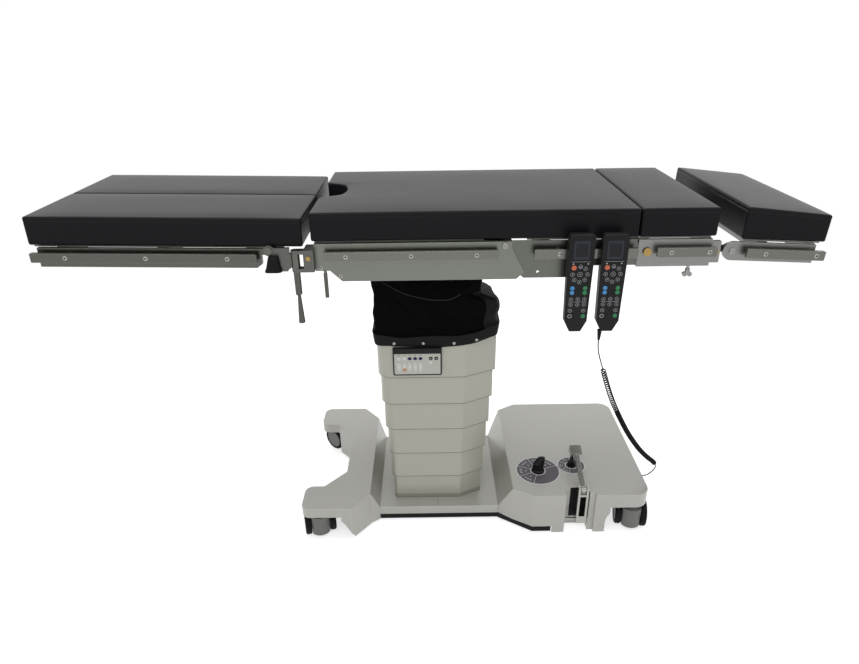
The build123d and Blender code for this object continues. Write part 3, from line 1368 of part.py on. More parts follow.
def arch(x_toe, x_crown, x_tip, top_z, y0, y1):
    """The arched opening over a caster in the front or rear skirt."""
    points = [
        (x_toe, -CUT),
        (x_toe, top_z),
        (x_crown, top_z),
        (x_tip, FOOT_TIP_Z),
        (x_tip, -CUT),
    ]
    face = rounded(points, (0, 0, ARCH_ROUND_R, 0, 0))
    return extrude(Plane.XZ.offset(-y1) * face, amount=y1 - y0, dir=(0, -1, 0))


def make_foot_cover():
    """The foot-end casing: a hollow shell, sloped to the deck, open at its casters."""
    top = FOOT_TOP_Z
    body = rise(foot_face(0), FOOT_SKIRT_Z, top)
    slope_x = DECK_X0
    half = FOOT_HALF_Y - FOOT_CHAMFER_Y
    low = FOOT_SKIRT_Z
    ramp = [(FOOT_X1, low), (slope_x, low), (slope_x, DECK_TOP_Z), (FOOT_X1, top)]
    body += prism_y(ramp, -half + FOOT_CHAMFER_Y / 2, half - FOOT_CHAMFER_Y / 2)
    for side in (-1, 1):
        corner = [
            (FOOT_X1, side * half),
            (slope_x, side * DECK_HALF_Y),
            (slope_x, side * (half - FOOT_CHAMFER_Y / 2)),
            (FOOT_X1, side * (half - FOOT_CHAMFER_Y / 2)),
        ]
        wedge = prism_z(corner, low, top)
        shave = [(FOOT_X1, top), (slope_x, DECK_TOP_Z), (slope_x + CUT, top + CUT), (FOOT_X1, top + CUT)]
        body += wedge - prism_y(shave, -FOOT_HALF_Y, FOOT_HALF_Y)
    cavity = rise(foot_face(SKIN), -CUT, top - SKIN)
    hollow = [
        (FOOT_X1 - 2 * SKIN, -CUT),
        (slope_x + CUT, -CUT),
        (slope_x + CUT, DECK_TOP_Z - SKIN),
        (slope_x, DECK_TOP_Z - SKIN),
        (FOOT_X1, top - SKIN),
        (FOOT_X1 - 2 * SKIN, top - SKIN),
    ]
    cavity += prism_y(hollow, -DECK_HALF_Y + SKIN, DECK_HALF_Y - SKIN)
    body -= cavity
    for side in (-1, 1):
        body -= rod_z(FOOT_CASTER_X, side * FOOT_CASTER_Y, -CUT, ARCH_Z, sweep_r())
        y0, y1 = span(side, FOOT_TOE_IN_Y - SKIN - CUT, FOOT_HALF_Y + CUT)
        tip_x = FOOT_X1 - FOOT_CHAMFER_X + FOOT_TIP_Z / 2
        body -= arch(FOOT_X0 - CUT, tip_x - ARCH_RUN, tip_x, ARCH_Z, y0, y1)
    save("foot_end_cover", body)


def drive_points():
    half = DRIVE_HALF_Y
    return [
        (DRIVE_X0, -half + DRIVE_CHAMFER_Y),
        (DRIVE_X0 + DRIVE_CHAMFER_X, -half),
        (DRIVE_X1, -half),
        (DRIVE_X1, half),
        (DRIVE_X0 + DRIVE_CHAMFER_X, half),
        (DRIVE_X0, half - DRIVE_CHAMFER_Y),
    ]


def drive_face(inset):
    r = DRIVE_ROUND_R
    face = rounded(drive_points(), (0, 0, r, r, 0, 0))
    if inset > 0:
        face = offset(face, amount=-inset, kind=Kind.INTERSECTION)
    return face


def make_drive_cover():
    """The drive-end casing: sloped to the deck, with the pump slot and two dial seats."""
    top = DRIVE_TOP_Z
    low = DRIVE_SKIRT_Z
    body = rise(drive_face(0), low, top)
    x0 = DRIVE_X0
    slope_x = DECK_X1
    half = DRIVE_HALF_Y - DRIVE_CHAMFER_Y
    corner = [
        (x0, -half),
        (x0, half),
        (slope_x, DECK_HALF_Y),
        (slope_x, -DECK_HALF_Y),
    ]
    shave = [(x0, top), (x0, top + CUT), (slope_x - CUT, top + CUT), (slope_x, DECK_TOP_Z)]
    body += prism_z(corner, low, top) - prism_y(shave, -DRIVE_HALF_Y, DRIVE_HALF_Y)
    cavity = rise(drive_face(SKIN), -CUT, top - SKIN)
    hollow = [
        (x0 + 2 * SKIN, -CUT),
        (slope_x - CUT, -CUT),
        (slope_x - CUT, DECK_TOP_Z - SKIN),
        (slope_x, DECK_TOP_Z - SKIN),
        (x0, top - SKIN),
        (x0 + 2 * SKIN, top - SKIN),
    ]
    cavity += prism_y(hollow, -DECK_HALF_Y + SKIN, DECK_HALF_Y - SKIN)
    body -= cavity
    box_x0 = SLOT_X0 - SKIN
    box_x1 = SLOT_X1 + SKIN
    y_front = -DRIVE_HALF_Y
    y_back = -DRIVE_HALF_Y + SLOT_DEPTH
    body += block(box_x0, box_x1, y_front, y_back + SKIN, low, top)
    body -= block(SLOT_X0, SLOT_X1, y_front - CUT, y_back, low - CUT, top + CUT)
    body += block(LINK_X1 + SLOT_LEDGE / 4, SLOT_X1, y_front + SLOT_LEDGE / 2, y_back, low, top)
    strip_y = DRIVE_HALF_Y + CUT
    body -= block(slope_x - CUT, DRIVE_STRIP_X1, -strip_y, strip_y, -CUT, DRIVE_STRIP_Z)
    inner = DRIVE_HALF_Y - SKIN
    body -= block(CHASSIS_TAIL_X1, DRIVE_X1 + CUT, -inner, inner, -CUT, DRIVE_ARCH_Z)
    for side in (-1, 1):
        body -= rod_z(DRIVE_CASTER_X, side * DRIVE_CASTER_Y, -CUT, DRIVE_ARCH_Z, sweep_r())
        y0, y1 = span(side, DRIVE_HALF_Y - DRIVE_ROUND_R, DRIVE_HALF_Y + CUT)
        body -= arch(DRIVE_X1 + CUT, DRIVE_ARCH_X, DRIVE_ARCH_X, DRIVE_ARCH_Z, y0, y1)
    for x, y, r in ((DIAL_X, DIAL_Y, DIAL_R), (DIAL2_X, DIAL2_Y, DIAL2_R)):
        body -= rod_z(x, y, top - DIAL_SINK, top + CUT, r)
        body -= rod_z(x, y, top - SKIN - CUT, top + CUT, KNOB_SHAFT_R + RUN_FIT)
    plates = [
        rod_z(DIAL_X, DIAL_Y, top - DIAL_SINK, top, DIAL_R)
        - rod_z(DIAL_X, DIAL_Y, top - SKIN, top + CUT, KNOB_SHAFT_R + CUT),
        rod_z(DIAL2_X, DIAL2_Y, top - DIAL_SINK, top, DIAL2_R)
        - rod_z(DIAL2_X, DIAL2_Y, top - SKIN, top + CUT, KNOB_SHAFT_R + CUT),
    ]
    socket = rod_x(DRIVE_X1, DRIVE_X1 + SOCKET_PROUD, SOCKET_Y, SOCKET_Z, SOCKET_R)
    save("drive_end_cover", body, *plates, socket, pump_pin())


def make_deck():
    deck = block(DECK_X0, DECK_X1, -DECK_HALF_Y, DECK_HALF_Y, DECK_LOW_Z, DECK_TOP_Z)
    deck -= block(
        DECK_X0 - CUT,
        DECK_X1 + CUT,
        -DECK_HALF_Y + SKIN,
        DECK_HALF_Y - SKIN,
        DECK_LOW_Z - CUT,
        DECK_TOP_Z - SKIN,
    )
    half = LIFT_TUBE / 2 + SKIN
    deck -= block(COLUMN_X - half, COLUMN_X + half, -half, half, DECK_LOW_Z, DECK_TOP_Z + CUT)
    groove = DECK_SEAM_W / 2
    for side in (-1, 1):
        y0, y1 = span(side, DECK_HALF_Y - SEAM_GROOVE, DECK_HALF_Y + CUT)
        deck -= block(DECK_SEAM_X - groove, DECK_SEAM_X + groove, y0, y1, DECK_LOW_Z - CUT, DECK_TOP_Z + CUT)
        for sign in (-1, 1):
            x = DECK_SEAM_X + sign * DECK_SCREW_GAP
            deck -= rod_y(x, y0, y1, DECK_SCREW_Z, DECK_SCREW_R)
    save("centre_deck", deck)


def make_chassis():
    """The welded steel base inside the covers, with the fixed lift tube on it."""
    inset = CHASSIS_INSET
    strip_y = DRIVE_HALF_Y - inset
    quarter = [
        (DECK_X0 - SKIN, DECK_HALF_Y - inset),
        (DECK_X1 - inset, DECK_HALF_Y - inset),
        (DRIVE_X0 + DRIVE_CHAMFER_X, strip_y),
        (DRIVE_STRIP_X1 - inset, strip_y),
        (DRIVE_STRIP_X1 - inset, CHASSIS_TAIL_HALF_Y),
        (CHASSIS_TAIL_X1, CHASSIS_TAIL_HALF_Y),
    ]
    outline = quarter + [(x, -y) for x, y in reversed(quarter)]
    body = prism_z(outline, CHASSIS_LOW_Z, CHASSIS_TOP_Z)
    post = POST_W
    body += block(FOOT_BEAM_X0, DECK_X0, -POST_HALF_Y, POST_HALF_Y, CHASSIS_LOW_Z, CHASSIS_TOP_Z)
    body += block(FOOT_BEAM_X0, FOOT_BEAM_X0 + post, -POST_HALF_Y, POST_HALF_Y, CHASSIS_LOW_Z, BEAM_TOP_Z)
    body += rise(foot_face(inset), BEAM_LOW_Z, BEAM_TOP_Z)
    x1 = CHASSIS_TAIL_X1
    body += block(x1 - post, x1, -POST_HALF_Y, POST_HALF_Y, CHASSIS_LOW_Z, BEAM_TOP_Z)
    plate = rise(drive_face(inset), BEAM_LOW_Z, BEAM_TOP_Z)
    body += plate & block(DRIVE_BEAM_X0, DRIVE_X1, -DRIVE_HALF_Y, DRIVE_HALF_Y, BEAM_LOW_Z, BEAM_TOP_Z)
    for x, y in caster_places():
        body -= rod_z(x, y, BEAM_LOW_Z - CUT, BEAM_TOP_Z + CUT, STEM_R + RUN_FIT)
    for x, y in lock_foot_places():
        body -= rod_z(x, y, CHASSIS_LOW_Z - CUT, BEAM_TOP_Z + CUT, LOCK_ROD_R + RUN_FIT)
    tube = square_tube(LIFT_TUBE, CHASSIS_TOP_Z, LIFT_LOW_Z + LIFT_LEN)
    save("base_chassis", body, tube)


def caster_places():
    """The four swivel axes: foot end front and rear, drive end front and rear."""
    return [
        (FOOT_CASTER_X, -FOOT_CASTER_Y),
        (FOOT_CASTER_X, FOOT_CASTER_Y),
        (DRIVE_CASTER_X, -DRIVE_CASTER_Y),
        (DRIVE_CASTER_X, DRIVE_CASTER_Y),
    ]


def lock_foot_places():
    places = []
    for x, y in zip(LOCK_FOOT_X, LOCK_FOOT_Y):
        places.append((x, -y))
        places.append((x, y))
    return places


def caster_housing():
    """The grey housing between the wheels; the swivel axis is at the origin."""
    axle_z = WHEEL_R + WHEEL_LIFT
    top_z = BEAM_LOW_Z - SWIVEL_GAP - SWIVEL_T
    nose = CASTER_TRAIL
    w = HOUSING_HALF_W
    cup = rod_z(0, 0, axle_z - HOUSING_LOW, top_z - SWIVEL_T, HOUSING_R)
    body = cup & block(-HOUSING_R, HOUSING_R, -w, w, 0, top_z)
    body = fillet(body.edges().group_by(Axis.Z)[0], HOUSING_EDGE_R)
    body += rod_y(nose, -w, w, axle_z, HOUSING_LOW - HOUSING_EDGE_R)
    body += rod_z(0, 0, top_z - SWIVEL_T, top_z + SWIVEL_T, SWIVEL_R)
    body += rod_z(0, 0, top_z, BEAM_LOW_Z + STEM_LEN, STEM_R)
    return body - rod_y(nose, -w - CUT, w + CUT, axle_z, AXLE_R + RUN_FIT)


def caster_wheels():
    """Two wheels on one axle: rubber tyres round grey hub discs."""
    axle_z = WHEEL_R + WHEEL_LIFT
    x = CASTER_TRAIL
    near = HOUSING_HALF_W + WHEEL_GAP
    pieces = []
    for side in (-1, 1):
        y0, y1 = span(side, near, near + WHEEL_T)
        tyre = rod_y(x, y0, y1, axle_z, WHEEL_R)
        tyre = fillet(tyre.edges(), TYRE_ROUND_R)
        tyre -= rod_y(x, y0 - CUT, y1 + CUT, axle_z, WHEEL_R - TYRE_DEPTH)
        h0, h1 = span(side, near + HUB_INSET, near + WHEEL_T - HUB_INSET)
        hub = rod_y(x, h0, h1, axle_z, WHEEL_R - TYRE_DEPTH)
        pieces.append(tyre)
        pieces.append(hub - rod_y(x, h0 - CUT, h1 + CUT, axle_z, AXLE_R))
    reach = near + WHEEL_T - HUB_INSET
    pieces.append(rod_y(x, -reach, reach, axle_z, AXLE_R))
    return pieces


def make_casters():
    housing = caster_housing()
    wheels = caster_wheels()
    for number, ((x, y), turn) in enumerate(zip(caster_places(), CASTER_TURNS_DEG), 1):
        place = Pos(x, y, 0) * Rot(0, 0, turn)
        save("caster_housing_" + str(number), place * housing)
        save("caster_wheels_" + str(number), *[place * piece for piece in wheels])


def make_lock_feet():
    feet = []
    for x, y in lock_foot_places():
        pad = rod_z(x, y, 0, LOCK_PAD_H, LOCK_PAD_R)
        feet.append(pad + rod_z(x, y, LOCK_PAD_H, LOCK_ROD_TOP_Z, LOCK_ROD_R))
    save("floor_lock_feet", *feet)


def selector(x, y, turn, share):
    """A black knob with a tall finger grip, on its shaft through the cover."""
    top = DRIVE_TOP_Z
    base_r = KNOB_BASE_R * share
    base_z = top + KNOB_BASE_H * share
    body = rod_z(x, y, top + SOFT_GAP, base_z, base_r)
    body = fillet(body.edges().group_by(Axis.Z)[-1], SCREW_HEAD_H)
    half_w = KNOB_FIN_W / 2 * share
    half_l = base_r - SIDE_GAP
    tip_z = base_z + KNOB_FIN_H * share
    heel_z = base_z + KNOB_FIN_H * share * KNOB_HEEL_SHARE
    grip = [(-half_l, base_z), (half_l, base_z), (half_l, tip_z), (0, tip_z), (-half_l, heel_z)]
    fin = prism_y(grip, -half_w, half_w)
    fin = chamfer(fin.edges().group_by(Axis.Z)[-1], half_w / 2)
    body += Pos(x, y, 0) * Rot(0, 0, turn) * fin
    return body + rod_z(x, y, top - KNOB_SHAFT_LEN, top + SOFT_GAP, KNOB_SHAFT_R)


def pump_link():
    """The windowed link in the slot, forked at its top for the pedal arm."""
    y0 = LINK_Y - LINK_T / 2
    y1 = LINK_Y + LINK_T / 2
    link = block(LINK_X0, LINK_X1, y0, y1, LINK_LOW_Z, LINK_TOP_Z)
    mid_z = LINK_LOW_Z + (LINK_TOP_Z - LINK_LOW_Z) * LINK_MID_SHARE
    window_low_z = LINK_LOW_Z + LINK_SOLE_H
    link -= block(LINK_X0 + LINK_WALL, LINK_X1 - LINK_WALL, y0 - CUT, y1 + CUT, window_low_z, mid_z)
    fork_low_z = mid_z + LINK_WALL
    link -= block(
        LINK_X0 + LINK_WALL,
        LINK_X1 - LINK_WALL,
        y0 - CUT,
        y1 + CUT,
        fork_low_z,
        LINK_TOP_Z + CUT,
    )
    pivot_z = LINK_LOW_Z + LINK_PIVOT_RISE
    link += rod_x(LINK_X0 + LINK_WALL, LINK_X1 - LINK_WALL, LINK_Y, LINK_TOP_Z - LINK_T / 2, LINK_PIN_R)
    return link - rod_x(LINK_X0 - CUT, LINK_X1 + CUT, LINK_Y, pivot_z, LINK_PIN_R + RUN_FIT)


def pump_pin():
    """The pin in the slot that the pump link turns on."""
    pivot_z = LINK_LOW_Z + LINK_PIVOT_RISE
    return rod_x(SLOT_X0, LINK_X1 + SLOT_LEDGE / 4, LINK_Y, pivot_z, LINK_PIN_R)


def pump_pedal():
    """The fold-over arm with its foot plate, lying on top of the cover."""
    mid_x = (LINK_X0 + LINK_X1) / 2
    pin_z = LINK_TOP_Z - LINK_T / 2
    half = ARM_W / 2
    arm = block(mid_x - half, mid_x + half, LINK_Y, LINK_Y + ARM_LEN, pin_z - ARM_T / 2, pin_z + ARM_T / 2)
    arm += rod_x(mid_x - half, mid_x + half, LINK_Y, pin_z, LINK_T / 2 - SIDE_GAP)
    end_y = LINK_Y + ARM_LEN
    plate = block(
        mid_x - PEDAL_W / 2,
        mid_x + PEDAL_W / 2,
        end_y - ARM_T,
        end_y + PEDAL_LEN,
        pin_z + ARM_T / 2,
        pin_z + ARM_T / 2 + PEDAL_T,
    )
    lip = block(
        mid_x - PEDAL_W / 2,
        mid_x - PEDAL_W / 2 + PEDAL_T,
        end_y - ARM_T,
        end_y + PEDAL_LEN,
        pin_z + ARM_T / 2 - PEDAL_LIP,
        pin_z + ARM_T / 2,
    )
    body = arm + plate + lip
    body -= rod_x(mid_x - half - CUT, mid_x + half + CUT, LINK_Y, pin_z, LINK_PIN_R + RUN_FIT)
    return body.rotate(Axis((0, LINK_Y, pin_z), (1, 0, 0)), ARM_SLOPE_DEG)


def make_base():
    make_chassis()
    make_foot_cover()
    make_drive_cover()
    make_deck()
    make_casters()
    make_lock_feet()
    save("selector_knob", selector(DIAL_X, DIAL_Y, KNOB_TURN_DEG[0], 1))
    save("lock_knob", selector(DIAL2_X, DIAL2_Y, KNOB_TURN_DEG[1], LOCK_KNOB_SHARE))
    save("pump_link", pump_link())
    save("pump_pedal", pump_pedal())


# Handsets and the curly cord
def handset(x, wired):
    """A slim remote with a screen pocket, and the hook that hangs it on the rail."""
    back_y = -(RAIL_OUT_Y + SOFT_GAP)
    front_y = back_y - HANDSET_T
    half = HANDSET_W / 2
    top_z = HANDSET_TOP_Z
    low_z = top_z - HANDSET_H
    toe = HANDSET_TOE
    waist = HANDSET_SHOULDER
    points = [
        (x - half, top_z),
        (x - half, top_z - SCREEN_TOP - SCREEN_H),
        (x - half + waist, low_z + 2 * toe),
        (x - half + waist + toe, low_z),
        (x + half - waist - toe, low_z),
        (x + half - waist, low_z + 2 * toe),
        (x + half, top_z - SCREEN_TOP - SCREEN_H),
        (x + half, top_z),
    ]
    body = prism_y(points, front_y, back_y)
    body = fillet(body.edges().filter_by(Axis.Y).group_by(Axis.Z)[-1], HANDSET_CORNER_R)
    body = fillet(body.faces().sort_by(Axis.Y)[0].edges(), HANDSET_EDGE_R)
    body -= block(
        x - SCREEN_W / 2,
        x + SCREEN_W / 2,
        front_y - CUT,
        front_y + SCREEN_SINK,
        top_z - SCREEN_TOP - SCREEN_H,
        top_z - SCREEN_TOP,
    )
    rail_top_z = RAIL_MID_Z + RAIL_H / 2
    hook_top_z = rail_top_z + SOFT_GAP + HOOK_ROOT_H
    leg_y = -(RAIL_IN_Y - SOFT_GAP)
    hook = block(x - HOOK_W / 2, x + HOOK_W / 2, back_y, leg_y + HOOK_T, rail_top_z + SOFT_GAP, hook_top_z)
    hook += block(x - HOOK_W / 2, x + HOOK_W / 2, leg_y, leg_y + HOOK_T, hook_top_z - HOOK_DROP, hook_top_z)
    pieces = [body, hook]
    if wired:
        mid_y = (front_y + back_y) / 2
        cone = Pos(x + RELIEF_X_SHIFT, mid_y, low_z - RELIEF_LEN / 2) * Cone(RELIEF_R1, RELIEF_R0, RELIEF_LEN)
        pieces.append(cone)
    return pieces


def relief_exit():
    """The point where the cord leaves the wired handset's strain relief."""
    mid_y = -(RAIL_OUT_Y + SOFT_GAP + HANDSET_T / 2)
    low_z = HANDSET_TOP_Z - HANDSET_H - RELIEF_LEN
    return (HANDSET_X[1] + RELIEF_X_SHIFT, mid_y, low_z)


def cord_points():
    """The cord's route from the strain relief to the base socket, chosen by hand."""
    return [
        relief_exit(),
        (463.0, -295.8, 680.0),
        (472.0, -295.8, 648.0),
        (485.0, -294.5, 611.0),
        (503.0, -287.0, 560.0),
        (524.0, -275.0, 507.0),
        (549.0, -259.0, 455.0),
        (575.0, -243.0, 405.0),
        (602.0, -227.0, 356.0),
        (632.0, -209.5, 308.0),
        (664.0, -192.5, 262.0),
        (698.0, -176.0, 222.0),
        (727.0, -162.0, 193.0),
        (742.0, -149.0, 165.0),
        (737.0, -137.0, 137.0),
        (722.0, SOCKET_Y, SOCKET_Z),
        (DRIVE_X1 + SOCKET_PROUD, SOCKET_Y, SOCKET_Z),
    ]


def corner_radii(points):
    """The largest arc at each corner that its two runs allow."""
    radii = []
    for a, b, c in zip(points, points[1:], points[2:]):
        run0 = Vector(*b) - Vector(*a)
        run1 = Vector(*c) - Vector(*b)
        turn = math.radians(run0.get_angle(run1))
        radii.append(ARC_SHARE * min(run0.length, run1.length) / math.tan(turn / 2))
    return radii


def on_run(points, run, share):
    """A point on one straight run of the route."""
    start = Vector(*points[run])
    end = Vector(*points[run + 1])
    return start + (end - start) * share


def arc_from(start, direction, end):
    """The arc that leaves a point in a given direction and ends at another."""
    chord = end - start
    along = chord.normalized()
    sideways = direction - along * direction.dot(along)
    if sideways.length * chord.length < MIN_BOW:
        return Line(start, end)
    turn = math.atan2(sideways.length, direction.dot(along))
    bow = chord.length / 2 * math.tan(turn / 2)
    middle = (start + end) / 2 + sideways.normalized() * bow
    return ThreePointArc(start, middle, end)


def biarc(start, start_way, end, end_way):
    """Two arcs that join two points and keep the given directions at both."""
    reach = end - start
    ways = start_way + end_way
    lead = reach.dot(ways)
    spread = 2 * (1 - start_way.dot(end_way))
    size = (math.sqrt(lead * lead + spread * reach.dot(reach)) - lead) / spread
    joint = (start + end + (start_way - end_way) * size) / 2
    return [arc_from(start, start_way, joint), arc_from(end, end_way * -1, joint)]


def curl_point(route, first, last, turns):
    """A point on the curly wire, by the number of turns from its start."""
    total = CURL_TURNS_OPEN + CURL_TURNS_TIGHT
    if turns < CURL_TURNS_OPEN:
        share = CURL_OPEN_SHARE * turns / CURL_TURNS_OPEN
    else:
        share = (turns - CURL_TURNS_OPEN) / CURL_TURNS_TIGHT
        share = CURL_OPEN_SHARE + (1 - CURL_OPEN_SHARE) * share
    place = first + (last - first) * share
    centre = route @ place
    way = route % place
    across = (Vector(0, 1, 0) - way * way.Y).normalized()
    up = way.cross(across)
    near_end = min(turns, total - turns, CURL_RAMP_SHARE) / CURL_RAMP_SHARE
    ramp = near_end * near_end * (3 - 2 * near_end)
    angle = 2 * math.pi * turns
    return centre + (across * math.cos(angle) + up * math.sin(angle)) * CURL_R * ramp


def curl_way(route, first, last, turns):
    """The direction of the curly wire at a number of turns."""
    step = 1 / CURL_STEPS ** 2
    total = CURL_TURNS_OPEN + CURL_TURNS_TIGHT
    before = curl_point(route, first, last, max(turns - step, 0))
    after = curl_point(route, first, last, min(turns + step, total))
    return (after - before).normalized()


def least_gap(points):
    """The least clear gap of the curly wire to itself."""
    least = CURL_R
    for i, a in enumerate(points):
        for b in points[i + CURL_STEPS // 2:i + 2 * CURL_STEPS]:
            least = min(least, (a - b).length - 2 * WIRE_R)
    return least


def tube(path, start, way):
    """A round tube of the wire's size along a path."""
    return sweep(Plane(origin=start, z_dir=way) * Circle(WIRE_R), path=path)


def make_cord():
    """The lead and curls as one unbroken tube, and the plain tail to the socket."""
    points = cord_points()
    radii = corner_radii(points)
    print("cord arc radii", [round(r, 1) for r in radii])
    route = FilletPolyline(*points, radius=radii)
    first = route.param_at_point(on_run(points, COIL_START_COUNT, CURL_START_SHARE))
    last = route.param_at_point(on_run(points, COIL_END_COUNT, CURL_END_SHARE))
    stub = last + 2 * WIRE_R / route.length
    total = CURL_TURNS_OPEN + CURL_TURNS_TIGHT
    halves = [n / 2 for n in range(2 * total + 1)]
    places = [curl_point(route, first, last, n) for n in halves]
    ways = [curl_way(route, first, last, n) for n in halves]
    edges = list(route.trim(0, first).edges())
    for a, b, way_a, way_b in zip(places, places[1:], ways, ways[1:]):
        edges.extend(biarc(a, way_a, b, way_b))
    edges.extend(route.trim(last, stub).edges())
    path = Wire(edges)
    steps = range(CURL_STEPS * total + 1)
    wire_points = [curl_point(route, first, last, n / CURL_STEPS) for n in steps]
    print("curly cord's least gap to itself", round(least_gap(wire_points), 2))
    curl = tube(path, route @ 0, route % 0)
    print("curly cord: path", round(path.length, 1), "volume", round(curl.volume, 1))
    print("section times length", round(math.pi * WIRE_R ** 2 * path.length, 1))
    save("cord_curl", curl)
    rest = route.trim(stub, 1)
    tail = tube(rest, route @ stub, route % stub)
    print("cord tail: path", round(rest.length, 1), "volume", round(tail.volume, 1))
    print("section times length", round(math.pi * WIRE_R ** 2 * rest.length, 1))
    save("cord_tail", tail)


if __name__ == "__main__":
    make_base()
    make_column()
    make_panel()
    make_bellows()
    make_seat()
    make_back()
    make_upper_back()
    make_head()
    make_legs()
    save("wireless_handset", *handset(HANDSET_X[0], False))
    save("wired_handset", *handset(HANDSET_X[1], True))
    make_cord()
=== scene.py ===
"""Looks of the electric operating table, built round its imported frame."""
import math

import bmesh
import bpy
import numpy as np
from mathutils import Matrix, Vector, geometry, noise


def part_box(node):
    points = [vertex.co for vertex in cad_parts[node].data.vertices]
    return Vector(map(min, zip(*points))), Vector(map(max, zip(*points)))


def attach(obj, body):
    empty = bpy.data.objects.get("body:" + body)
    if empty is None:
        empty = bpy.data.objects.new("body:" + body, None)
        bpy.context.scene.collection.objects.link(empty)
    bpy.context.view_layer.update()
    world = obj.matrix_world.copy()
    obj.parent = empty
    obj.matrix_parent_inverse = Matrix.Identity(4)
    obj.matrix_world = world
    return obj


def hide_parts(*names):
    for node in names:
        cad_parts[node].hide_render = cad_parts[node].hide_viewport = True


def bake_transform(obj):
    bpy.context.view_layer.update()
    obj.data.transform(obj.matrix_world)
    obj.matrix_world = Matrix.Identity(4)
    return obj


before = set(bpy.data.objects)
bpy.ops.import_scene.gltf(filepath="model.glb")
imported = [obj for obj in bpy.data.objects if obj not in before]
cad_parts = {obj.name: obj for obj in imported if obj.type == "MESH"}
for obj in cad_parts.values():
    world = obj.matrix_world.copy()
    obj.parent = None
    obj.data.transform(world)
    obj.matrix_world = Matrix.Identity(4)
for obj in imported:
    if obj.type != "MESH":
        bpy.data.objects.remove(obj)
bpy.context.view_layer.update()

SIDES = (("front", -1), ("rear", 1))

# Sizes of the cushions, in metres
PAD_TOP = 1.058
PAD_THICK = 0.078
PAD_HALF = 0.26
PAD_EDGE = 0.006
PAD_CROWN = 0.003
PAD_DRAW = 0.0015
PAD_STEP = 0.02
SEAM_DROP = 0.0075
LEG_DROP = 0.012
LEG_SPLIT = 0.001
LEG_X = (-1.028, -0.321)
MAIN_X = (-0.299, 0.548)
UPPER_X = (0.551, 0.75)
HEAD_X = (0.815, 1.034)
LEG_TILT = (-0.407, 0.961)
LEG_LIFT_DEG = 1.2
HEAD_PIVOT = (0.796, 0.94)
HEAD_DROOP_DEG = 2.8
HEAD_PAD_LOW = 0.971
HEAD_PAD_TOE = 0.074
HEAD_PAD_RISE = 0.001
CUTOUT_DEPTH = 0.07
CUTOUT_HALF = 0.1
CUTOUT_SHOULDER = 0.045
GROOVE_W = 0.0009
GROOVE_DEPTH = 0.0007

# Rails, screws and pins, in metres
RAIL_INNER = 0.2735
RAIL_FACE = 0.284
STAND_OFF_Y = 0.2625
RAIL_Z = 0.945
HEAD_RAIL_Z = 0.941
LEG_RAIL_Z = 0.942
BORE_R = 0.0068
SCREW_R = 0.0056
SCREW_RISE = 0.001
SCREW_SUNK = 0.0002
SOCKET_SHARE = 0.45
SOCKET_RISE = 0.0004
PLATE_FACE = 0.262
PLATE_SCREW_R = 0.0052
PLATE_SCREWS = ((-0.278, 0.9095), (-0.228, 0.8855))
FACE_SLACK = 0.0003
STOP_PIN = {"x": 0.756, "z": HEAD_PIVOT[1], "radius": 0.0052, "y": 0.2575}
CATCH_PIN = {"x": -0.305, "z": 0.943, "radius": 0.0062, "y": 0.2832}
HINGE_PIN = {"x": 0.19, "y": 0.2621}
KNUCKLE_RUBBER = {"x": -0.3829, "z": 0.9441}
STRAIN_RELIEF_TOP = 0.7349

# Casters
HUB_R = 0.0334
CASTER_TURNS = (105, -40, 80, -118)

# Boots under the leg hinges: share of the height, half sizes
BOOT_X = (-0.396, -0.3995)
BOOT_Y = 0.2685
BOOT_Z = (0.9035, 0.949)
BOOT_ROUND = 0.55
BOOT_LEVELS = (
    (0.0, 0.0105, 0.0155), (0.03, 0.0125, 0.0172), (0.3, 0.0155, 0.0176), (0.7, 0.019, 0.0178),
    (0.88, 0.0226, 0.0178), (0.97, 0.022, 0.0168), (1.0, 0.0185, 0.0135),
)

# Keypad and handsets
PANEL_FACE_Y = -0.195
PANEL_X = (-0.104, 0.0395)
PANEL_Z = (0.546, 0.636)
PANEL_HOOD = 0.017
PANEL_MARGIN = 0.004
PANEL_RISE = 0.0006
PANEL_ROWS = (0.056, 0.028)
PANEL_COLUMNS = (0.125, 0.235, 0.345, 0.455, 0.565)
PANEL_ROUND_KEYS = (0.775, 0.885)
PAIR_DZ = 0.0085
HANDSET_FACE_Y = -0.3073
HANDSET_X = (0.393, 0.478)
HANDSET_TOP = 1.003
KEY_X = 0.0165
RING_X = 0.0175
PROUD = 0.0004
KEY_RISE = 0.0009

# Dials and pump slot on the drive cover
COVER_TOP = 0.15
CORD_SOCKET_X = 0.6902
COVER_SCREW = {"y": -0.254, "z": 0.044, "radius": 0.0052}
DIALS = (
    {"centre": (0.356, -0.142), "radius": 0.073, "knob": 0.0216, "lines": (22, 66, 112, 158, 204, 250)},
    {"centre": (0.471, -0.116), "radius": 0.047, "knob": 0.017, "lines": (30, 90, 150, 210, 250)},
)
DIAL_RISE = 0.0003
RIM_W = 0.0046
KNOB_RIM_W = 0.0038
LINE_W = 0.0016
MARK_W = 0.003
DIAL_MARKS = ((0.34, 0.13, (0,)), (0.72, 0.16, (-9, 0, 9)))
GRIP_SIDES = 32
SELECTOR_LEVELS = (
    (0.0005, 0.0212, 0.0212, 0.0), (0.0022, 0.0214, 0.0214, 0.0), (0.0055, 0.0206, 0.0206, 0.0),
    (0.0085, 0.0184, 0.0184, 0.0), (0.0115, 0.0174, 0.0160, 0.0), (0.0200, 0.0172, 0.0140, 0.0),
    (0.0280, 0.0176, 0.0120, 0.001), (0.0360, 0.0166, 0.0104, 0.003), (0.0420, 0.0150, 0.0096, 0.005),
    (0.0480, 0.0128, 0.0088, 0.008), (0.0520, 0.0102, 0.0076, 0.010), (0.0538, 0.0066, 0.0052, 0.0108),
)
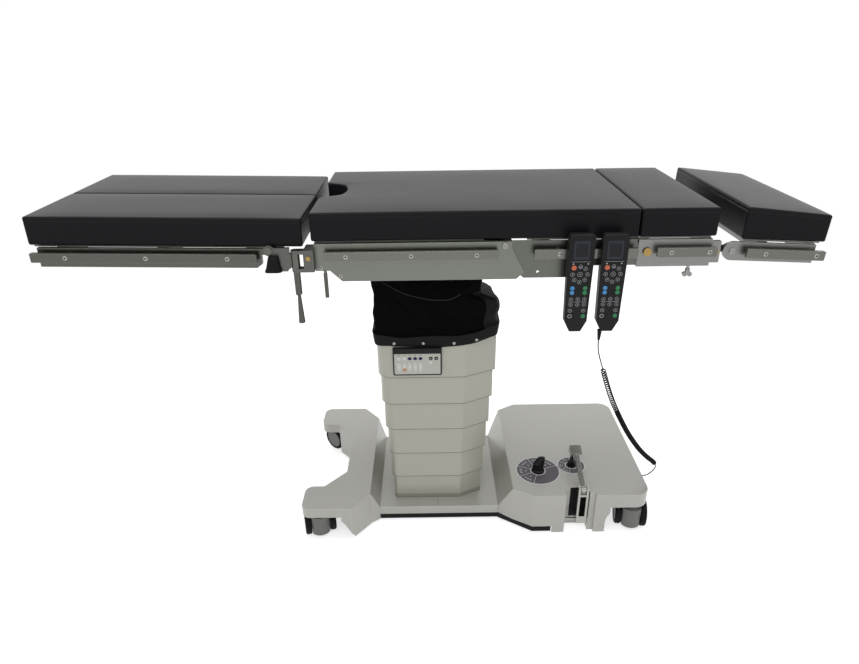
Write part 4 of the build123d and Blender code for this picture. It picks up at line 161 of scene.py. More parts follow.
LOCK_LEVELS = (
    (0.0005, 0.0166, 0.0166, 0.0), (0.0016, 0.0168, 0.0168, 0.0), (0.0038, 0.0158, 0.0158, 0.0),
    (0.0052, 0.0136, 0.0136, 0.0),
)
# A black sheet inside the pump's slot stands for its shade
SLOT_BACK_Y = -0.228
SLOT_SHADE = (0.447, 0.52, 0.034, 0.1475)

# Plinth and painted shade lines round the column's covers, and the deck's seam
PLINTH_H = 0.014
PLINTH_PROUD = 0.0012
SHADOW_PROUD = PLINTH_PROUD + 0.0008
# A dark band of painted shade under each cover's low edge
SHADE_LINE_H = 0.0014
SHADE_LINE_PROUD = 0.0002
BAND_SUNK = 0.0005
FOOT_SLACK = 0.0005
SEAM_X = 0.024
SEAM_W = 0.0012
SEAM_GAP = 0.003
SEAM_RISE = 0.0002

# Cloth sleeve under the seat: outline, hem, band and folds as (x, z)
SLEEVE_TOP = 0.892
SLEEVE_ROWS = 100
BAND_ROWS = 12
SLEEVE_STEP = 0.005
COLUMN_MID_X = 0.025
COLUMN_HALF = (0.178, 0.187)
COLUMN_CUT = (0.068, 0.034)
HEM_X = (-0.153, -0.105, -0.053, 0.037, 0.092, 0.145, 0.19)
HEM_Z = (0.643, 0.641, 0.638, 0.635, 0.639, 0.648, 0.655)
BAND_X = (-0.144, -0.078, 0.009, 0.089, 0.184)
BAND_Z = (0.68, 0.669, 0.674, 0.673, 0.692)
FOLDS = (
    ((-0.062, 0.745), (-0.038, 0.708), (0.016, 0.679)),
    ((-0.006, 0.746), (0.03, 0.708), (0.073, 0.684)),
    ((0.018, 0.755), (0.054, 0.724), (0.104, 0.694)),
    ((0.102, 0.739), (0.128, 0.721), (0.163, 0.716)),
    ((-0.118, 0.79), (-0.112, 0.74), (-0.1, 0.69)),
    ((-0.09, 0.775), (-0.045, 0.735), (-0.02, 0.728)),
)
# The right side's lower strip takes the band's paler cloth as painted light
LIT_STRIP_X = 0.163
LIT_STRIP_SHARE = 0.58
SHOULDER_Z = (0.774, 0.69)
NECK_TOP = 0.832
SWAG_X = (-0.125, 0.118)
SWAG_EDGE_R = 0.0012
SNAP_R = 0.005
SNAP_H = 0.003
SNAP_SPOTS = ((-0.1, 0.65), (-0.0125, 0.6495), (0.0735, 0.6485), (0.141, 0.657))
SNAP_SIDE_Y = (-0.09, 0.09)
SNAP_SIDE_RISE = 0.006

# Cord route, as the part's source has it
CORD_ROUTE = [
    (0.463, -0.2958, 0.705),
    (0.463, -0.2958, 0.68),
    (0.472, -0.2958, 0.648),
    (0.485, -0.2945, 0.611),
    (0.503, -0.287, 0.56),
    (0.524, -0.275, 0.507),
    (0.549, -0.259, 0.455),
    (0.575, -0.243, 0.405),
    (0.602, -0.227, 0.356),
    (0.632, -0.2095, 0.308),
    (0.664, -0.1925, 0.262),
    (0.698, -0.176, 0.222),
    (0.727, -0.162, 0.193),
    (0.742, -0.149, 0.165),
    (0.737, -0.137, 0.137),
    (0.722, -0.128, 0.112),
    (0.7, -0.128, 0.112),
]
WIRE_R = 0.0017
CURL_R = 0.0063
CURLS_OPEN = 22
CURLS_TIGHT = 70
CURL_OPEN_SHARE = 0.36
CURL_SPAN_SHARE = (0.128, 0.858)
CURL_STEPS = 16
WIRE_SIDES = 8

# Floor, lights and camera
WHITE = (1, 1, 1, 1)
FLOOR_REACH = 14.0
FLOOR_GLOW = 0.66
FLOOR_FADE = (1.7, 3.2)
WORLD_STRENGTH = 0.42
LIGHTS = (
    ("overhead_soft", (0, 0.7, 3.6), (0, 0, 0.8), (4.5, 3.0), 62),
    ("front_soft", (-0.5, -3.2, 3.4), (0, 0, 0.4), (3.2, 2.2), 33),
    ("right_soft", (3.2, -1.4, 2.4), (0.3, 0, 0.6), (2.0, 2.0), 8),
)
LENS = 26.82
CAMERA_AT = (0.0045, -1.853, 1.4745)
CAMERA_DOWN_DEG = 25.4
CAMERA_ROLL_DEG = 0.8


# Materials
def add_node(tree, kind, inputs=None, **settings):
    """A new shader node with its settings and inputs."""
    made = tree.nodes.new("ShaderNode" + kind)
    for name, value in settings.items():
        setattr(made, name, value)
    fill_inputs(tree, made, inputs or {})
    return made


def fill_inputs(tree, target, inputs):
    """Sets a node's inputs: a constant is set directly, another node's output is linked."""
    for name, value in inputs.items():
        if isinstance(value, bpy.types.NodeSocket):
            tree.links.new(value, target.inputs[name])
        else:
            target.inputs[name].default_value = value


def shade(colour, factor):
    """A lighter or darker copy of a colour."""
    return tuple(min(1.0, c * factor) for c in colour[:3]) + (1.0,)


def linear(screen):
    """A colour written in screen values, as the shader takes it."""
    out = []
    for value in screen:
        share = value / 255
        out.append(share / 12.92 if share <= 0.04045 else ((share + 0.055) / 1.055) ** 2.4)
    return tuple(out) + (1.0,)


def material(name, screen, roughness, metallic=0.0, tint=0.08, tint_scale=6.0, grain="noise",
             grain_scale=900.0, bump=0.1, depth=0.0002, stretch=(1, 1, 1), swing=0.06, coat=0.0,
             edge=0.0, highlight_gain=1.0, ior=1.5, specular=0.5):
    """A procedural surface: slow colour drift, fine grain in bump and gloss, soft edges, and a painted
    highlight that turns the colour paler along the edges.
    """
    made = bpy.data.materials.new(name)
    made.use_nodes = True
    tree = made.node_tree
    colour = linear(screen)
    place = add_node(tree, "TexCoord").outputs["Object"]
    stretched = add_node(tree, "Mapping", {"Scale": stretch, "Vector": place}).outputs["Vector"]
    drift = add_node(tree, "TexNoise", {"Scale": tint_scale, "Detail": 5.0, "Roughness": 0.6, "Vector": place})
    ends = {0: drift.outputs["Fac"], 6: shade(colour, 1 - tint), 7: shade(colour, 1 + tint)}
    base = add_node(tree, "Mix", ends, data_type="RGBA").outputs[2]
    fine = grain_nodes(tree, grain, grain_scale, stretched)
    span = {"To Min": max(0.02, roughness - swing), "To Max": min(1.0, roughness + swing), "Value": fine}
    gloss = add_node(tree, "MapRange", span).outputs["Result"]
    relief = add_node(tree, "Bump", {"Strength": bump, "Distance": depth, "Height": fine})
    if edge > 0:
        rounded = add_node(tree, "Bevel", {"Radius": edge}, samples=4).outputs["Normal"]
        fill_inputs(tree, relief, {"Normal": rounded})
        # Painted highlight: paler colour along the edges
        if highlight_gain > 1:
            base = painted_edge_highlight(tree, rounded, base, shade(colour, highlight_gain))
    fill_inputs(tree, tree.nodes["Principled BSDF"], {
        "Base Color": base, "Metallic": metallic, "Roughness": gloss, "Coat Weight": coat, "IOR": ior,
        "Specular IOR Level": specular, "Normal": relief.outputs["Normal"],
    })
    return made


def painted_edge_highlight(tree, rounded, plain, pale):
    """Painted highlight: the colour turned paler along the edges, where the rounded normal leaves the flat
    one.
    """
    flat = add_node(tree, "NewGeometry").outputs["Normal"]
    lean = add_node(tree, "VectorMath", {0: rounded, 1: flat}, operation="DOT_PRODUCT").outputs["Value"]
    near = add_node(tree, "MapRange", {"From Min": 0.97, "From Max": 0.82, "Value": lean}).outputs["Result"]
    return add_node(tree, "Mix", {0: near, 6: plain, 7: pale}, data_type="RGBA").outputs[2]


def grain_nodes(tree, grain, scale, place):
    """The fine pattern's height, by kind of surface."""
    if grain == "leather":
        cells = add_node(tree, "TexVoronoi", {"Scale": scale, "Vector": place}, feature="DISTANCE_TO_EDGE")
        return cells.outputs["Distance"]
    if grain == "weave":
        settings = {"Scale": scale, "Distortion": 0.6, "Vector": place}
        waves = [add_node(tree, "TexWave", settings, bands_direction=way).outputs["Fac"] for way in "XZ"]
        return add_node(tree, "Math", {0: waves[0], 1: waves[1]}, operation="MULTIPLY").outputs["Value"]
    return add_node(tree, "TexNoise", {"Scale": scale, "Detail": 4.0, "Vector": place}).outputs["Fac"]


ENAMEL = {"grain_scale": 1400.0, "bump": 0.05}
BRUSHED = {"metallic": 1.0, "stretch": (0.02, 1, 1)}
PLATE = {**BRUSHED, "grain_scale": 1600.0, "tint_scale": 5.0, "swing": 0.08}
POLISHED = {"metallic": 1.0, "bump": 0.03, "tint": 0.06}
WOVEN = {"grain": "weave", "grain_scale": 420.0, "specular": 0.15}
PRINT = {"bump": 0.04, "tint": 0.05}
DULL_PRINT = {**PRINT, "specular": 0.2}

# Materials given an edge gain above 1 get a painted highlight along their edges.
LEATHERETTE = material("charcoal_leatherette", (24, 24, 27), 0.36, grain="leather", grain_scale=700.0,
                       bump=0.14, depth=0.00025, tint=0.06, tint_scale=9.0, swing=0.05, ior=1.21)
COVER_PAINT = material("silver_grey_enamel", (192, 191, 185), 0.34, **ENAMEL, metallic=0.15, tint=0.03,
                       coat=0.2, edge=0.0045, highlight_gain=1.4)
COLUMN_PAINT = material("warm_grey_enamel", (181, 180, 168), 0.36, **ENAMEL, metallic=0.2, tint=0.03,
                        tint_scale=4.0, coat=0.15, edge=0.0025, highlight_gain=1.2)
FOOT_PAINT = material("plinth_enamel", (150, 149, 138), 0.4, **ENAMEL, tint=0.05, edge=0.001)
# Dark colour of the deck's seam, also painted shade for the bands under the covers' low edges
SEAM_AND_SHADE_PAINT = material("dark_seam_and_painted_shade", (112, 111, 102), 0.5, **ENAMEL, tint=0.05)
# Lit and shaded copies of one stainless: the seat's copy is lightened as painted light, the back's and the
# legs' copies are darkened as painted shade.
LIGHTENED_STEEL = material("stainless_with_painted_light", (120, 123, 116), 0.32, **PLATE, bump=0.12, edge=0.001, highlight_gain=2.2)
RAIL_STEEL = material("rail_stainless", (114, 115, 109), 0.26, **BRUSHED, grain_scale=1500.0, bump=0.08,
                      tint=0.06, edge=0.0011, highlight_gain=2.6)
SHADED_BACK_STEEL = material("back_stainless_with_painted_shade", (104, 106, 100), 0.32, **PLATE, bump=0.12, edge=0.001, highlight_gain=2.4)
SHADED_LEG_STEEL = material("leg_stainless_with_painted_shade", (98, 99, 93), 0.3, **PLATE, edge=0.0011, highlight_gain=2.8)
BRIGHT_STEEL = material("polished_steel", (146, 146, 142), 0.16, **POLISHED, edge=0.0004, highlight_gain=1.7)
SCREW_STEEL = material("screw_steel", (158, 158, 153), 0.2, **POLISHED)
PUMP_STEEL = material("pump_steel", (160, 160, 155), 0.24, metallic=1.0, bump=0.05, tint=0.06, edge=0.001,
                      highlight_gain=1.8)
DARK_STEEL = material("satin_dark_steel", (88, 88, 84), 0.3, metallic=1.0, bump=0.06, tint=0.1, edge=0.0006,
                      highlight_gain=2.6)
ALUMINIUM = material("satin_aluminium", (136, 137, 134), 0.36, **BRUSHED, grain_scale=1800.0, bump=0.08,
                     tint=0.05, edge=0.001, highlight_gain=2.0)
CAST = material("cast_aluminium", (98, 99, 95), 0.42, metallic=1.0, grain_scale=700.0, bump=0.2, tint=0.1,
                edge=0.0009, highlight_gain=2.0)
BRASS = material("brass", (168, 140, 88), 0.28, metallic=1.0, bump=0.05, tint=0.06, edge=0.0005, highlight_gain=1.5)
# Black of the chassis; the same black also stands as painted shade in the screw bores, the hex sockets and the
# pump's slot.
BLACK_ENAMEL_AND_SHADE = material("black_enamel_and_painted_shade", (15, 15, 16), 0.5, tint=0.1, specular=0.15)
BLACK_PLASTIC = material("black_plastic", (20, 20, 22), 0.42, grain_scale=1500.0, bump=0.18, edge=0.0012,
                         highlight_gain=1.8, specular=0.2)
KNOB_PLASTIC = material("knob_plastic", (14, 14, 15), 0.34, grain_scale=1200.0, bump=0.08, edge=0.0012,
                        highlight_gain=1.8, specular=0.2)
GREY_PLASTIC = material("grey_plastic", (128, 128, 125), 0.45, grain_scale=1100.0, bump=0.12, tint=0.05,
                        edge=0.0012, specular=0.3)
TYRE = material("tyre_rubber", (22, 22, 23), 0.7, grain_scale=800.0, bump=0.2, tint=0.12, specular=0.15)
RUBBER = material("black_rubber", (16, 16, 17), 0.6, bump=0.12, tint=0.1, specular=0.15)
CORD_SKIN = material("cord_rubber", (13, 13, 15), 0.4, grain_scale=1500.0, bump=0.06, tint=0.06, specular=0.12)
CLOTH = material("black_cloth", (7, 7, 8), 0.62, **{**WOVEN, "specular": 0.03}, bump=0.3, depth=0.0003,
                 tint=0.15, tint_scale=12.0)
# Paler cloth of the hem band, also painted light on the right side's lower strip
BAND_AND_LIT_CLOTH = material("cloth_band_and_painted_light", (24, 24, 26), 0.75, **WOVEN, bump=0.35, depth=0.0003, tint=0.12,
                      tint_scale=12.0)
# A pale line of painted highlight along the swags' low edges
SWAG_HIGHLIGHT = material("swag_edge_painted_highlight", (52, 52, 52), 0.75, **WOVEN, bump=0.2, tint=0.2, tint_scale=20.0)
GLASS = material("dark_screen", (12, 13, 24), 0.14, bump=0.01, tint=0.1, coat=0.1, specular=0.25)
BEZEL = material("screen_frame", (52, 56, 66), 0.4, bump=0.05, tint=0.05, specular=0.2)
DIAL_FACE = material("dial_face", (112, 107, 114), 0.5, **ENAMEL, tint=0.04, specular=0.2)
MARKING = material("white_marking", (226, 226, 228), 0.5, bump=0.04, tint=0.02)
SILVER_FACE = material("panel_face", (190, 190, 182), 0.42, metallic=0.15, grain_scale=1600.0, bump=0.05,
                       tint=0.03)
KEY_WHITE = material("white_key", (226, 227, 224), 0.4, bump=0.04, tint=0.03)
KEY_BLUE = material("navy_key", (44, 42, 82), 0.4, **DULL_PRINT)
KEY_BLACK = material("black_key", (22, 22, 24), 0.4, **DULL_PRINT)
KEY_ORANGE = material("orange_key", (214, 158, 104), 0.45, **PRINT)
PRINT_GREY = material("grey_print", (188, 190, 194), 0.5, **DULL_PRINT)
SKY = material("sky_blue_key", (88, 154, 216), 0.45, **DULL_PRINT)
GREEN = material("green_key", (62, 140, 92), 0.45, **DULL_PRINT)
CORAL = material("coral_key", (216, 118, 86), 0.45, **DULL_PRINT)


# Finishes of the carried-over CAD nodes
def paint(name, finishes, choose=None):
    """Gives a CAD node its materials; choose says which one a polygon takes, by its centre."""
    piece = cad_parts[name]
    piece.data.materials.clear()
    for finish in finishes:
        piece.data.materials.append(finish)
    for polygon in piece.data.polygons:
        polygon.material_index = choose(polygon.center) if choose else 0


def on_pin(p, pin):
    """Whether a point lies on the outer end of a pin along Y."""
    return math.hypot(p.x - pin["x"], p.z - pin["z"]) < pin["radius"] and abs(p.y) > pin["y"]


def wheel_finish(name, turn_deg):
    """Rubber outside the hub's radius, grey plastic inside it."""
    low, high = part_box(name)
    centre = (low + high) / 2
    turn = math.radians(turn_deg)
    axle = Vector((-math.sin(turn), math.cos(turn), 0))

    def choose(p):
        reach = p - centre
        radial = (reach - axle * reach.dot(axle)).length
        return 0 if radial > HUB_R else 1

    paint(name, [TYRE, GREY_PLASTIC], choose)


def turn_about(points, pivot, degrees):
    """Turns points about a line along Y."""
    spin = Matrix.Rotation(math.radians(degrees), 3, "Y")
    centre = Vector((pivot[0], 0, pivot[1]))
    return [centre + spin @ (p - centre) for p in points]


def on_rail(places, z, pivot=(0, 0), degrees=0):
    """The (x, z) spots of a rail's screws, which follow its tilted section."""
    return [(p.x, p.z) for p in turn_about([Vector((x, 0, z)) for x in places], pivot, degrees)]


SEAT_SCREWS = on_rail((-0.209, -0.04, 0.129), RAIL_Z)
BACK_SCREWS = on_rail((0.343, 0.509, 0.63, 0.728), RAIL_Z)
HEAD_SCREWS = on_rail((0.874, 1.006), HEAD_RAIL_Z, HEAD_PIVOT, HEAD_DROOP_DEG)
LEG_SCREWS = on_rail((-0.928, -0.722, -0.513), LEG_RAIL_Z, LEG_TILT, LEG_LIFT_DEG)
SCREW_SPOTS = SEAT_SCREWS + BACK_SCREWS + HEAD_SCREWS + LEG_SCREWS


def rail_or_plate(p):
    """0 for a plate, 1 for a rail, 2 for a screw head or stand-off, 3 for the bore round a screw, painted
    black as painted shade.
    """
    reach = abs(p.y)
    if reach < RAIL_INNER:
        return 2 if reach > STAND_OFF_Y else 0
    for x, z in SCREW_SPOTS:
        if math.hypot(p.x - x, p.z - z) < BORE_R:
            # Inside the bore the polygons take black, as painted shade
            return 2 if reach > RAIL_FACE - FACE_SLACK else 3
    return 1


def dial_or_cover(p):
    """0 for the cover, 1 for a dial's face, 2 for the cord's socket, 3 for the round screw."""
    if p.x > CORD_SOCKET_X:
        return 2
    if p.z > COVER_TOP - FACE_SLACK:
        for dial in DIALS:
            if math.hypot(p.x - dial["centre"][0], p.y - dial["centre"][1]) < dial["radius"]:
                return 1
    if math.hypot(p.y - COVER_SCREW["y"], p.z - COVER_SCREW["z"]) < COVER_SCREW["radius"]:
        return 3
    return 0


def upper_back_finish(p):
    return 4 if on_pin(p, STOP_PIN) else rail_or_plate(p)


def seat_finish(p):
    if on_pin(p, CATCH_PIN):
        return 1
    return 2 if p.x > HINGE_PIN["x"] and abs(p.y) > HINGE_PIN["y"] else 0


def knuckle_finish(p):
    if p.x < KNUCKLE_RUBBER["x"] and p.z < KNUCKLE_RUBBER["z"]:
        return 1
    return 2 if abs(p.y) > RAIL_INNER else 0


def numbered(stem, tags):
    """Names that differ in their last word only."""
    return [stem + str(tag) for tag in tags]


def finish_frame():
    """Every CAD node that stays in view gets its finish."""
    ends = ("front", "rear")
    plain = (
        (BLACK_ENAMEL_AND_SHADE, ["base_chassis"]),
        (COVER_PAINT, ["foot_end_cover", "centre_deck"]),
        (COLUMN_PAINT, numbered("column_cover_", range(1, 7))),
        (GREY_PLASTIC, numbered("caster_housing_", range(1, 5))),
        (BLACK_PLASTIC, ["control_panel", "wireless_handset"]),
        (KNOB_PLASTIC, ["selector_knob", "lock_knob"]),
        (PUMP_STEEL, ["pump_link", "pump_pedal"]),
        (LIGHTENED_STEEL, ["lift_tube_middle", "lift_tube_inner"]),
        (CAST, ["trend_yoke"]),
        (BRIGHT_STEEL, ["floor_lock_feet", "head_bars", "back_release_lever"]),
        (BRIGHT_STEEL, numbered("head_clamp_knob_", ends)),
        (BRASS, numbered("release_button_", ends)),
        (DARK_STEEL, numbered("leg_clamp_lever_", ends)),
        (DARK_STEEL, numbered("leg_clamp_grip_", ends)),
        (DARK_STEEL, numbered("leg_release_lever_", ends)),
    )
    for finish, names in plain:
        for name in names:
            paint(name, [finish])
    for name, turn in zip(numbered("caster_wheels_", range(1, 5)), CASTER_TURNS):
        wheel_finish(name, turn)
    rail = [RAIL_STEEL, BRIGHT_STEEL, BLACK_ENAMEL_AND_SHADE]
    paint("drive_end_cover", [COVER_PAINT, DIAL_FACE, RUBBER, BRIGHT_STEEL], dial_or_cover)
    paint("seat_side_covers", [LIGHTENED_STEEL] + rail, rail_or_plate)
    paint("back_frame", [SHADED_BACK_STEEL] + rail, rail_or_plate)
    paint("upper_back_frame", [ALUMINIUM] + rail + [BRASS], upper_back_finish)
    paint("seat_frame", [CAST, BRASS, BRIGHT_STEEL], seat_finish)
    paint("head_frame", [ALUMINIUM] + rail, rail_or_plate)
    for word in ends:
        paint("leg_frame_" + word, [SHADED_LEG_STEEL, SHADED_LEG_STEEL, BRIGHT_STEEL, BLACK_ENAMEL_AND_SHADE], rail_or_plate)
        paint("leg_knuckle_" + word, [CAST, RUBBER, SHADED_BACK_STEEL], knuckle_finish)
    paint("wired_handset", [BLACK_PLASTIC, RUBBER], lambda p: 1 if p.z < STRAIN_RELIEF_TOP else 0)


# New pieces
def put(name, data):
    """A new object in the scene."""
    made = bpy.data.objects.new(name, data)
    bpy.context.collection.objects.link(made)
    return made


def new_piece(name, verts, faces, body, finishes, indices=None, smooth=True):
    """A mesh piece in the row frame that rides on a body."""
    mesh = bpy.data.meshes.new(name)
    mesh.from_pydata([tuple(v) for v in verts], [], faces)
    for finish in finishes:
        mesh.materials.append(finish)
    if indices:
        for polygon, index in zip(mesh.polygons, indices):
            polygon.material_index = index
    if smooth:
        mesh.shade_smooth()
    mesh.validate()
    mesh.update()
    piece = put(name, mesh)
    fix_normals(mesh)
    if body:
        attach(piece, body)
    return piece


def fix_normals(mesh):
    """Turns all faces outward."""
    work = bmesh.new()
    work.from_mesh(mesh)
    bmesh.ops.recalc_face_normals(work, faces=work.faces)
    work.to_mesh(mesh)
    work.free()


def joined_piece(name, parts, body, finishes, smooth=True):
    """One piece of several parts, each with its points, its faces and its material's number."""
    points = []
    faces = []
    indices = []
    for part_points, part_faces, index in parts:
        base = len(points)
        points.extend(part_points)
        faces.extend(tuple(base + n for n in face) for face in part_faces)
        indices.extend([index] * len(part_faces))
    return new_piece(name, points, faces, body, finishes, indices, smooth)


def circle(sides):
    """Cosine and sine at even steps of a turn."""
    return [(math.cos(2 * math.pi * n / sides), math.sin(2 * math.pi * n / sides)) for n in range(sides)]


def ring_faces(rings, sides, looped=False, capped=False):
    """Quads between rings of points that follow each other, with end faces if capped."""
    faces = []
    for ring in range(rings if looped else rings - 1):
        near = ring * sides
        far = (ring + 1) % rings * sides
        for n in range(sides):
            m = (n + 1) % sides
            faces.append((near + n, near + m, far + m, far + n))
    if capped:
        faces.append(tuple(range(sides - 1, -1, -1)))
        faces.append(tuple(range((rings - 1) * sides, rings * sides)))
    return faces


def dome(centre, out, radius, height, sides=16):
    """A low round dome on a flat face."""
    out = Vector(out).normalized()
    across = out.orthogonal().normalized()
    up = out.cross(across)
    rings = [(1.0, 0.0), (1.0, 0.35), (0.86, 0.72), (0.5, 0.94)]
    points = [
        Vector(centre) + (across * c + up * s) * radius * reach + out * height * rise
        for reach, rise in rings for c, s in circle(sides)
    ]
    points.append(Vector(centre) + out * height)
    faces = ring_faces(len(rings), sides)
    last = (len(rings) - 1) * sides
    for n in range(sides):
        faces.append((last + n, last + (n + 1) % sides, len(points) - 1))
    faces.append(tuple(range(sides - 1, -1, -1)))
    return points, faces


def washer(outer, inner, rise, sides, place):
    """A raised ring; place turns its two ways in the face and its height into a point."""
    levels = ((outer, 0), (outer, rise), (inner, rise), (inner, 0))
    points = [place(reach * c, reach * s, lift) for reach, lift in levels for c, s in circle(sides)]
    return points, ring_faces(len(levels), sides, looped=True)


def tube(path, radius, sides):
    """A closed round tube along points, with its frame carried along."""
    points = []
    way = (path[1] - path[0]).normalized()
    across = way.orthogonal().normalized()
    for n, spot in enumerate(path):
        ahead = (path[min(n + 1, len(path) - 1)] - path[max(n - 1, 0)]).normalized()
        across = (across - ahead * across.dot(ahead)).normalized()
        up = ahead.cross(across)
        points += [spot + (across * c + up * s) * radius for c, s in circle(sides)]
    return points, ring_faces(len(path), sides, capped=True)


# Cushions
def stops(length, edge, step):
    """Places along one side of a cushion: close together at its rounded ends."""
    ends = [edge * (1 - math.tan(math.radians(a))) for a in (45, 30, 15, 0)]
    seam = [e for e in (edge + 0.0015,) if e < length / 4]
    inner = max(2, round((length - 2 * edge) / step))
    middle = [edge + (length - 2 * edge) * n / inner for n in range(1, inner)]
    return ends + seam + middle + [length - e for e in seam] + [length - e for e in reversed(ends)]


def rounded_box(size, edge, step):
    """Points and quads of a box with rounded edges, its low corner at the origin."""
    axes = [stops(size[0], edge, step), stops(size[1], edge, step), side_stops(size[2], edge)]
    axes = [sorted({round(v, 6) for v in axis}) for axis in axes]
    index = {}
    points = []

    def corner(place):
        if place not in index:
            index[place] = len(points)
            p = Vector([axis[n] for axis, n in zip(axes, place)])
            q = Vector([min(max(v, edge), far - edge) for v, far in zip(p, size)])
            reach = p - q
            points.append(q + reach.normalized() * edge if reach.length > 0 else p)
        return index[place]

    faces = []
    for fixed in range(3):
        a, b = [n for n in range(3) if n != fixed]
        for side in (0, len(axes[fixed]) - 1):
            for i in range(len(axes[a]) - 1):
                for j in range(len(axes[b]) - 1):
                    quad = []
                    for di, dj in ((0, 0), (1, 0), (1, 1), (0, 1)):
                        place = [side] * 3
                        place[a] = i + di
                        place[b] = j + dj
                        quad.append(corner(tuple(place)))
                    faces.append(quad)
    return points, faces


def side_stops(height, edge):
    """Places up the side of a cushion, with a close pair round its seam."""
    seam = height - SEAM_DROP - edge
    rows = stops(height, edge, 0.012)
    return rows + [seam - 0.0016, seam - 0.0007, seam, seam + 0.0007, seam + 0.0016]


def ripple(p, size, depth):
    """Slow unevenness of stretched leatherette over foam."""
    return noise.noise(Vector((p.x, p.y, p.z)) / size) * depth


def pad_points(points, x, y, low, high, shift=None, toe_drop=0.0):
    """Sets a cushion in place: crown, drawn-in sides, seam and a little unevenness."""
    length = x[1] - x[0]
    width = y[1] - y[0]
    height = high - low - PAD_CROWN
    seam = height - SEAM_DROP - PAD_EDGE
    placed = []
    for p in points:
        u = p.x / length
        v = p.y / width
        w = p.z / height
        bow_u = 1 - (2 * u - 1) ** 2
        bow_v = 1 - (2 * v - 1) ** 2
        inward = PAD_DRAW * math.sin(math.pi * w) ** 0.5 if 0 < w < 1 else 0.0
        groove = GROOVE_DEPTH * math.exp(-((p.z - seam) / GROOVE_W) ** 2)
        here = Vector((x[0] + p.x, y[0] + p.y, low + p.z))
        squeeze = groove + inward * bow_u - abs(ripple(here, 0.11, 0.0012)) * bow_u * w
        if min(p.y, width - p.y) < PAD_EDGE / 2:
            here.y += squeeze if p.y < width / 2 else -squeeze
        squeeze = groove + inward * bow_v
        if min(p.x, length - p.x) < PAD_EDGE / 2:
            here.x += squeeze if p.x < length / 2 else -squeeze
        lift = PAD_CROWN * (1 - (2 * u - 1) ** 6) * (1 - (2 * v - 1) ** 6)
        here.z += (lift + ripple(here, 0.16, 0.0008) * min(1.0, bow_u * bow_v * 4)) * max(0.0, w) ** 2
        here.z -= toe_drop * u * w
        if shift:
            here.x += shift(here.y) * (1 - u)
        placed.append(here)
    return placed


def cutout(y):
    """How far the seat's leg end is cut back at one place across the table."""
    reach = abs(y)
    if reach >= CUTOUT_HALF:
        return 0.0
    if reach <= CUTOUT_HALF - CUTOUT_SHOULDER:
        share = reach / (CUTOUT_HALF - CUTOUT_SHOULDER)
        return CUTOUT_DEPTH * (1 - 0.14 * share * share)
    share = (CUTOUT_HALF - reach) / CUTOUT_SHOULDER
    return CUTOUT_DEPTH * 0.86 * share * share * (3 - 2 * share)


def cushion(name, body, nodes, x, y, low, high, shift=None, toe_drop=0.0, turn=None, step=PAD_STEP):
    """One padded cover, which stands for its CAD pads."""
    size = (x[1] - x[0], y[1] - y[0], high - low - PAD_CROWN)
    points, faces = rounded_box(size, PAD_EDGE, step)
    points = pad_points(points, x, y, low, high, shift, toe_drop)
    if turn:
        points = turn_about(points, *turn)
    piece = new_piece(name, points, faces, body, [LEATHERETTE])
    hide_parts(*nodes)
    return piece


def make_cushions():
    """The five cushions; the main one covers the seat, the hinge's zone and the back in one piece."""
    low = PAD_TOP - PAD_THICK
    half = PAD_HALF
    for word, sign in SIDES:
        y = sorted((sign * half, sign * LEG_SPLIT))
        cushion(
            "leg_cushion_" + word, "leg_" + word, ["leg_pad_" + word], LEG_X, y,
            low - LEG_DROP, PAD_TOP - LEG_DROP, turn=(LEG_TILT, LEG_LIFT_DEG),
        )
    main = cushion(
        "main_cushion", None, ["seat_pad", "pad_hinge_zone", "back_pad"], MAIN_X, (-half, half),
        low, PAD_TOP, shift=cutout, step=0.01,
    )
    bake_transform(main)
    upper = cushion("upper_back_cushion", "back", ["upper_back_pad"], UPPER_X, (-half, half), low, PAD_TOP)
    top = PAD_TOP + HEAD_PAD_RISE
    head = cushion(
        "head_cushion", "head", ["head_pad"], HEAD_X, (-half, half), HEAD_PAD_LOW, top,
        toe_drop=top - HEAD_PAD_LOW - HEAD_PAD_TOE, turn=(HEAD_PIVOT, HEAD_DROOP_DEG),
    )


# Cloth sleeve
def column_plan(grow):
    """Points round the top cover, spaced along its sides, with their outward ways."""
    half_x, half_y = COLUMN_HALF
    cut_x, cut_y = COLUMN_CUT
    corners = [
        (-half_x, -half_y),
        (half_x - cut_x, -half_y),
        (half_x, -half_y + cut_y),
        (half_x, half_y - cut_y),
        (half_x - cut_x, half_y),
        (-half_x, half_y),
    ]
    points = []
    for (ax, ay), (bx, by) in zip(corners, corners[1:] + corners[:1]):
        length = math.hypot(bx - ax, by - ay)
        count = max(2, round(length / SLEEVE_STEP))
        for n in range(count):
            points.append(Vector((COLUMN_MID_X + ax + (bx - ax) * n / count, ay + (by - ay) * n / count)))
    soft = []
    total = len(points)
    for n in range(total):
        around = [points[(n + k) % total] for k in range(-3, 4)]
        soft.append(sum(around, Vector((0, 0))) / len(around))
    ways = []
    for n in range(total):
        along = (soft[(n + 1) % total] - soft[n - 1]).normalized()
        ways.append(Vector((along.y, -along.x)))
    return [p + way * grow for p, way in zip(soft, ways)], ways


def swag_height(x):
    """The low edge of the front swag, a shallow curve under the seat."""
    share = (x - 0.04) / (0.1455 if x < 0.04 else 0.117)
    return 0.789 + 0.045 * min(share * share, 2.2)


def bump_at(value, middle, width):
    """A smooth hill of height 1 over its middle."""
    return math.exp(-((value - middle) / width) ** 2)


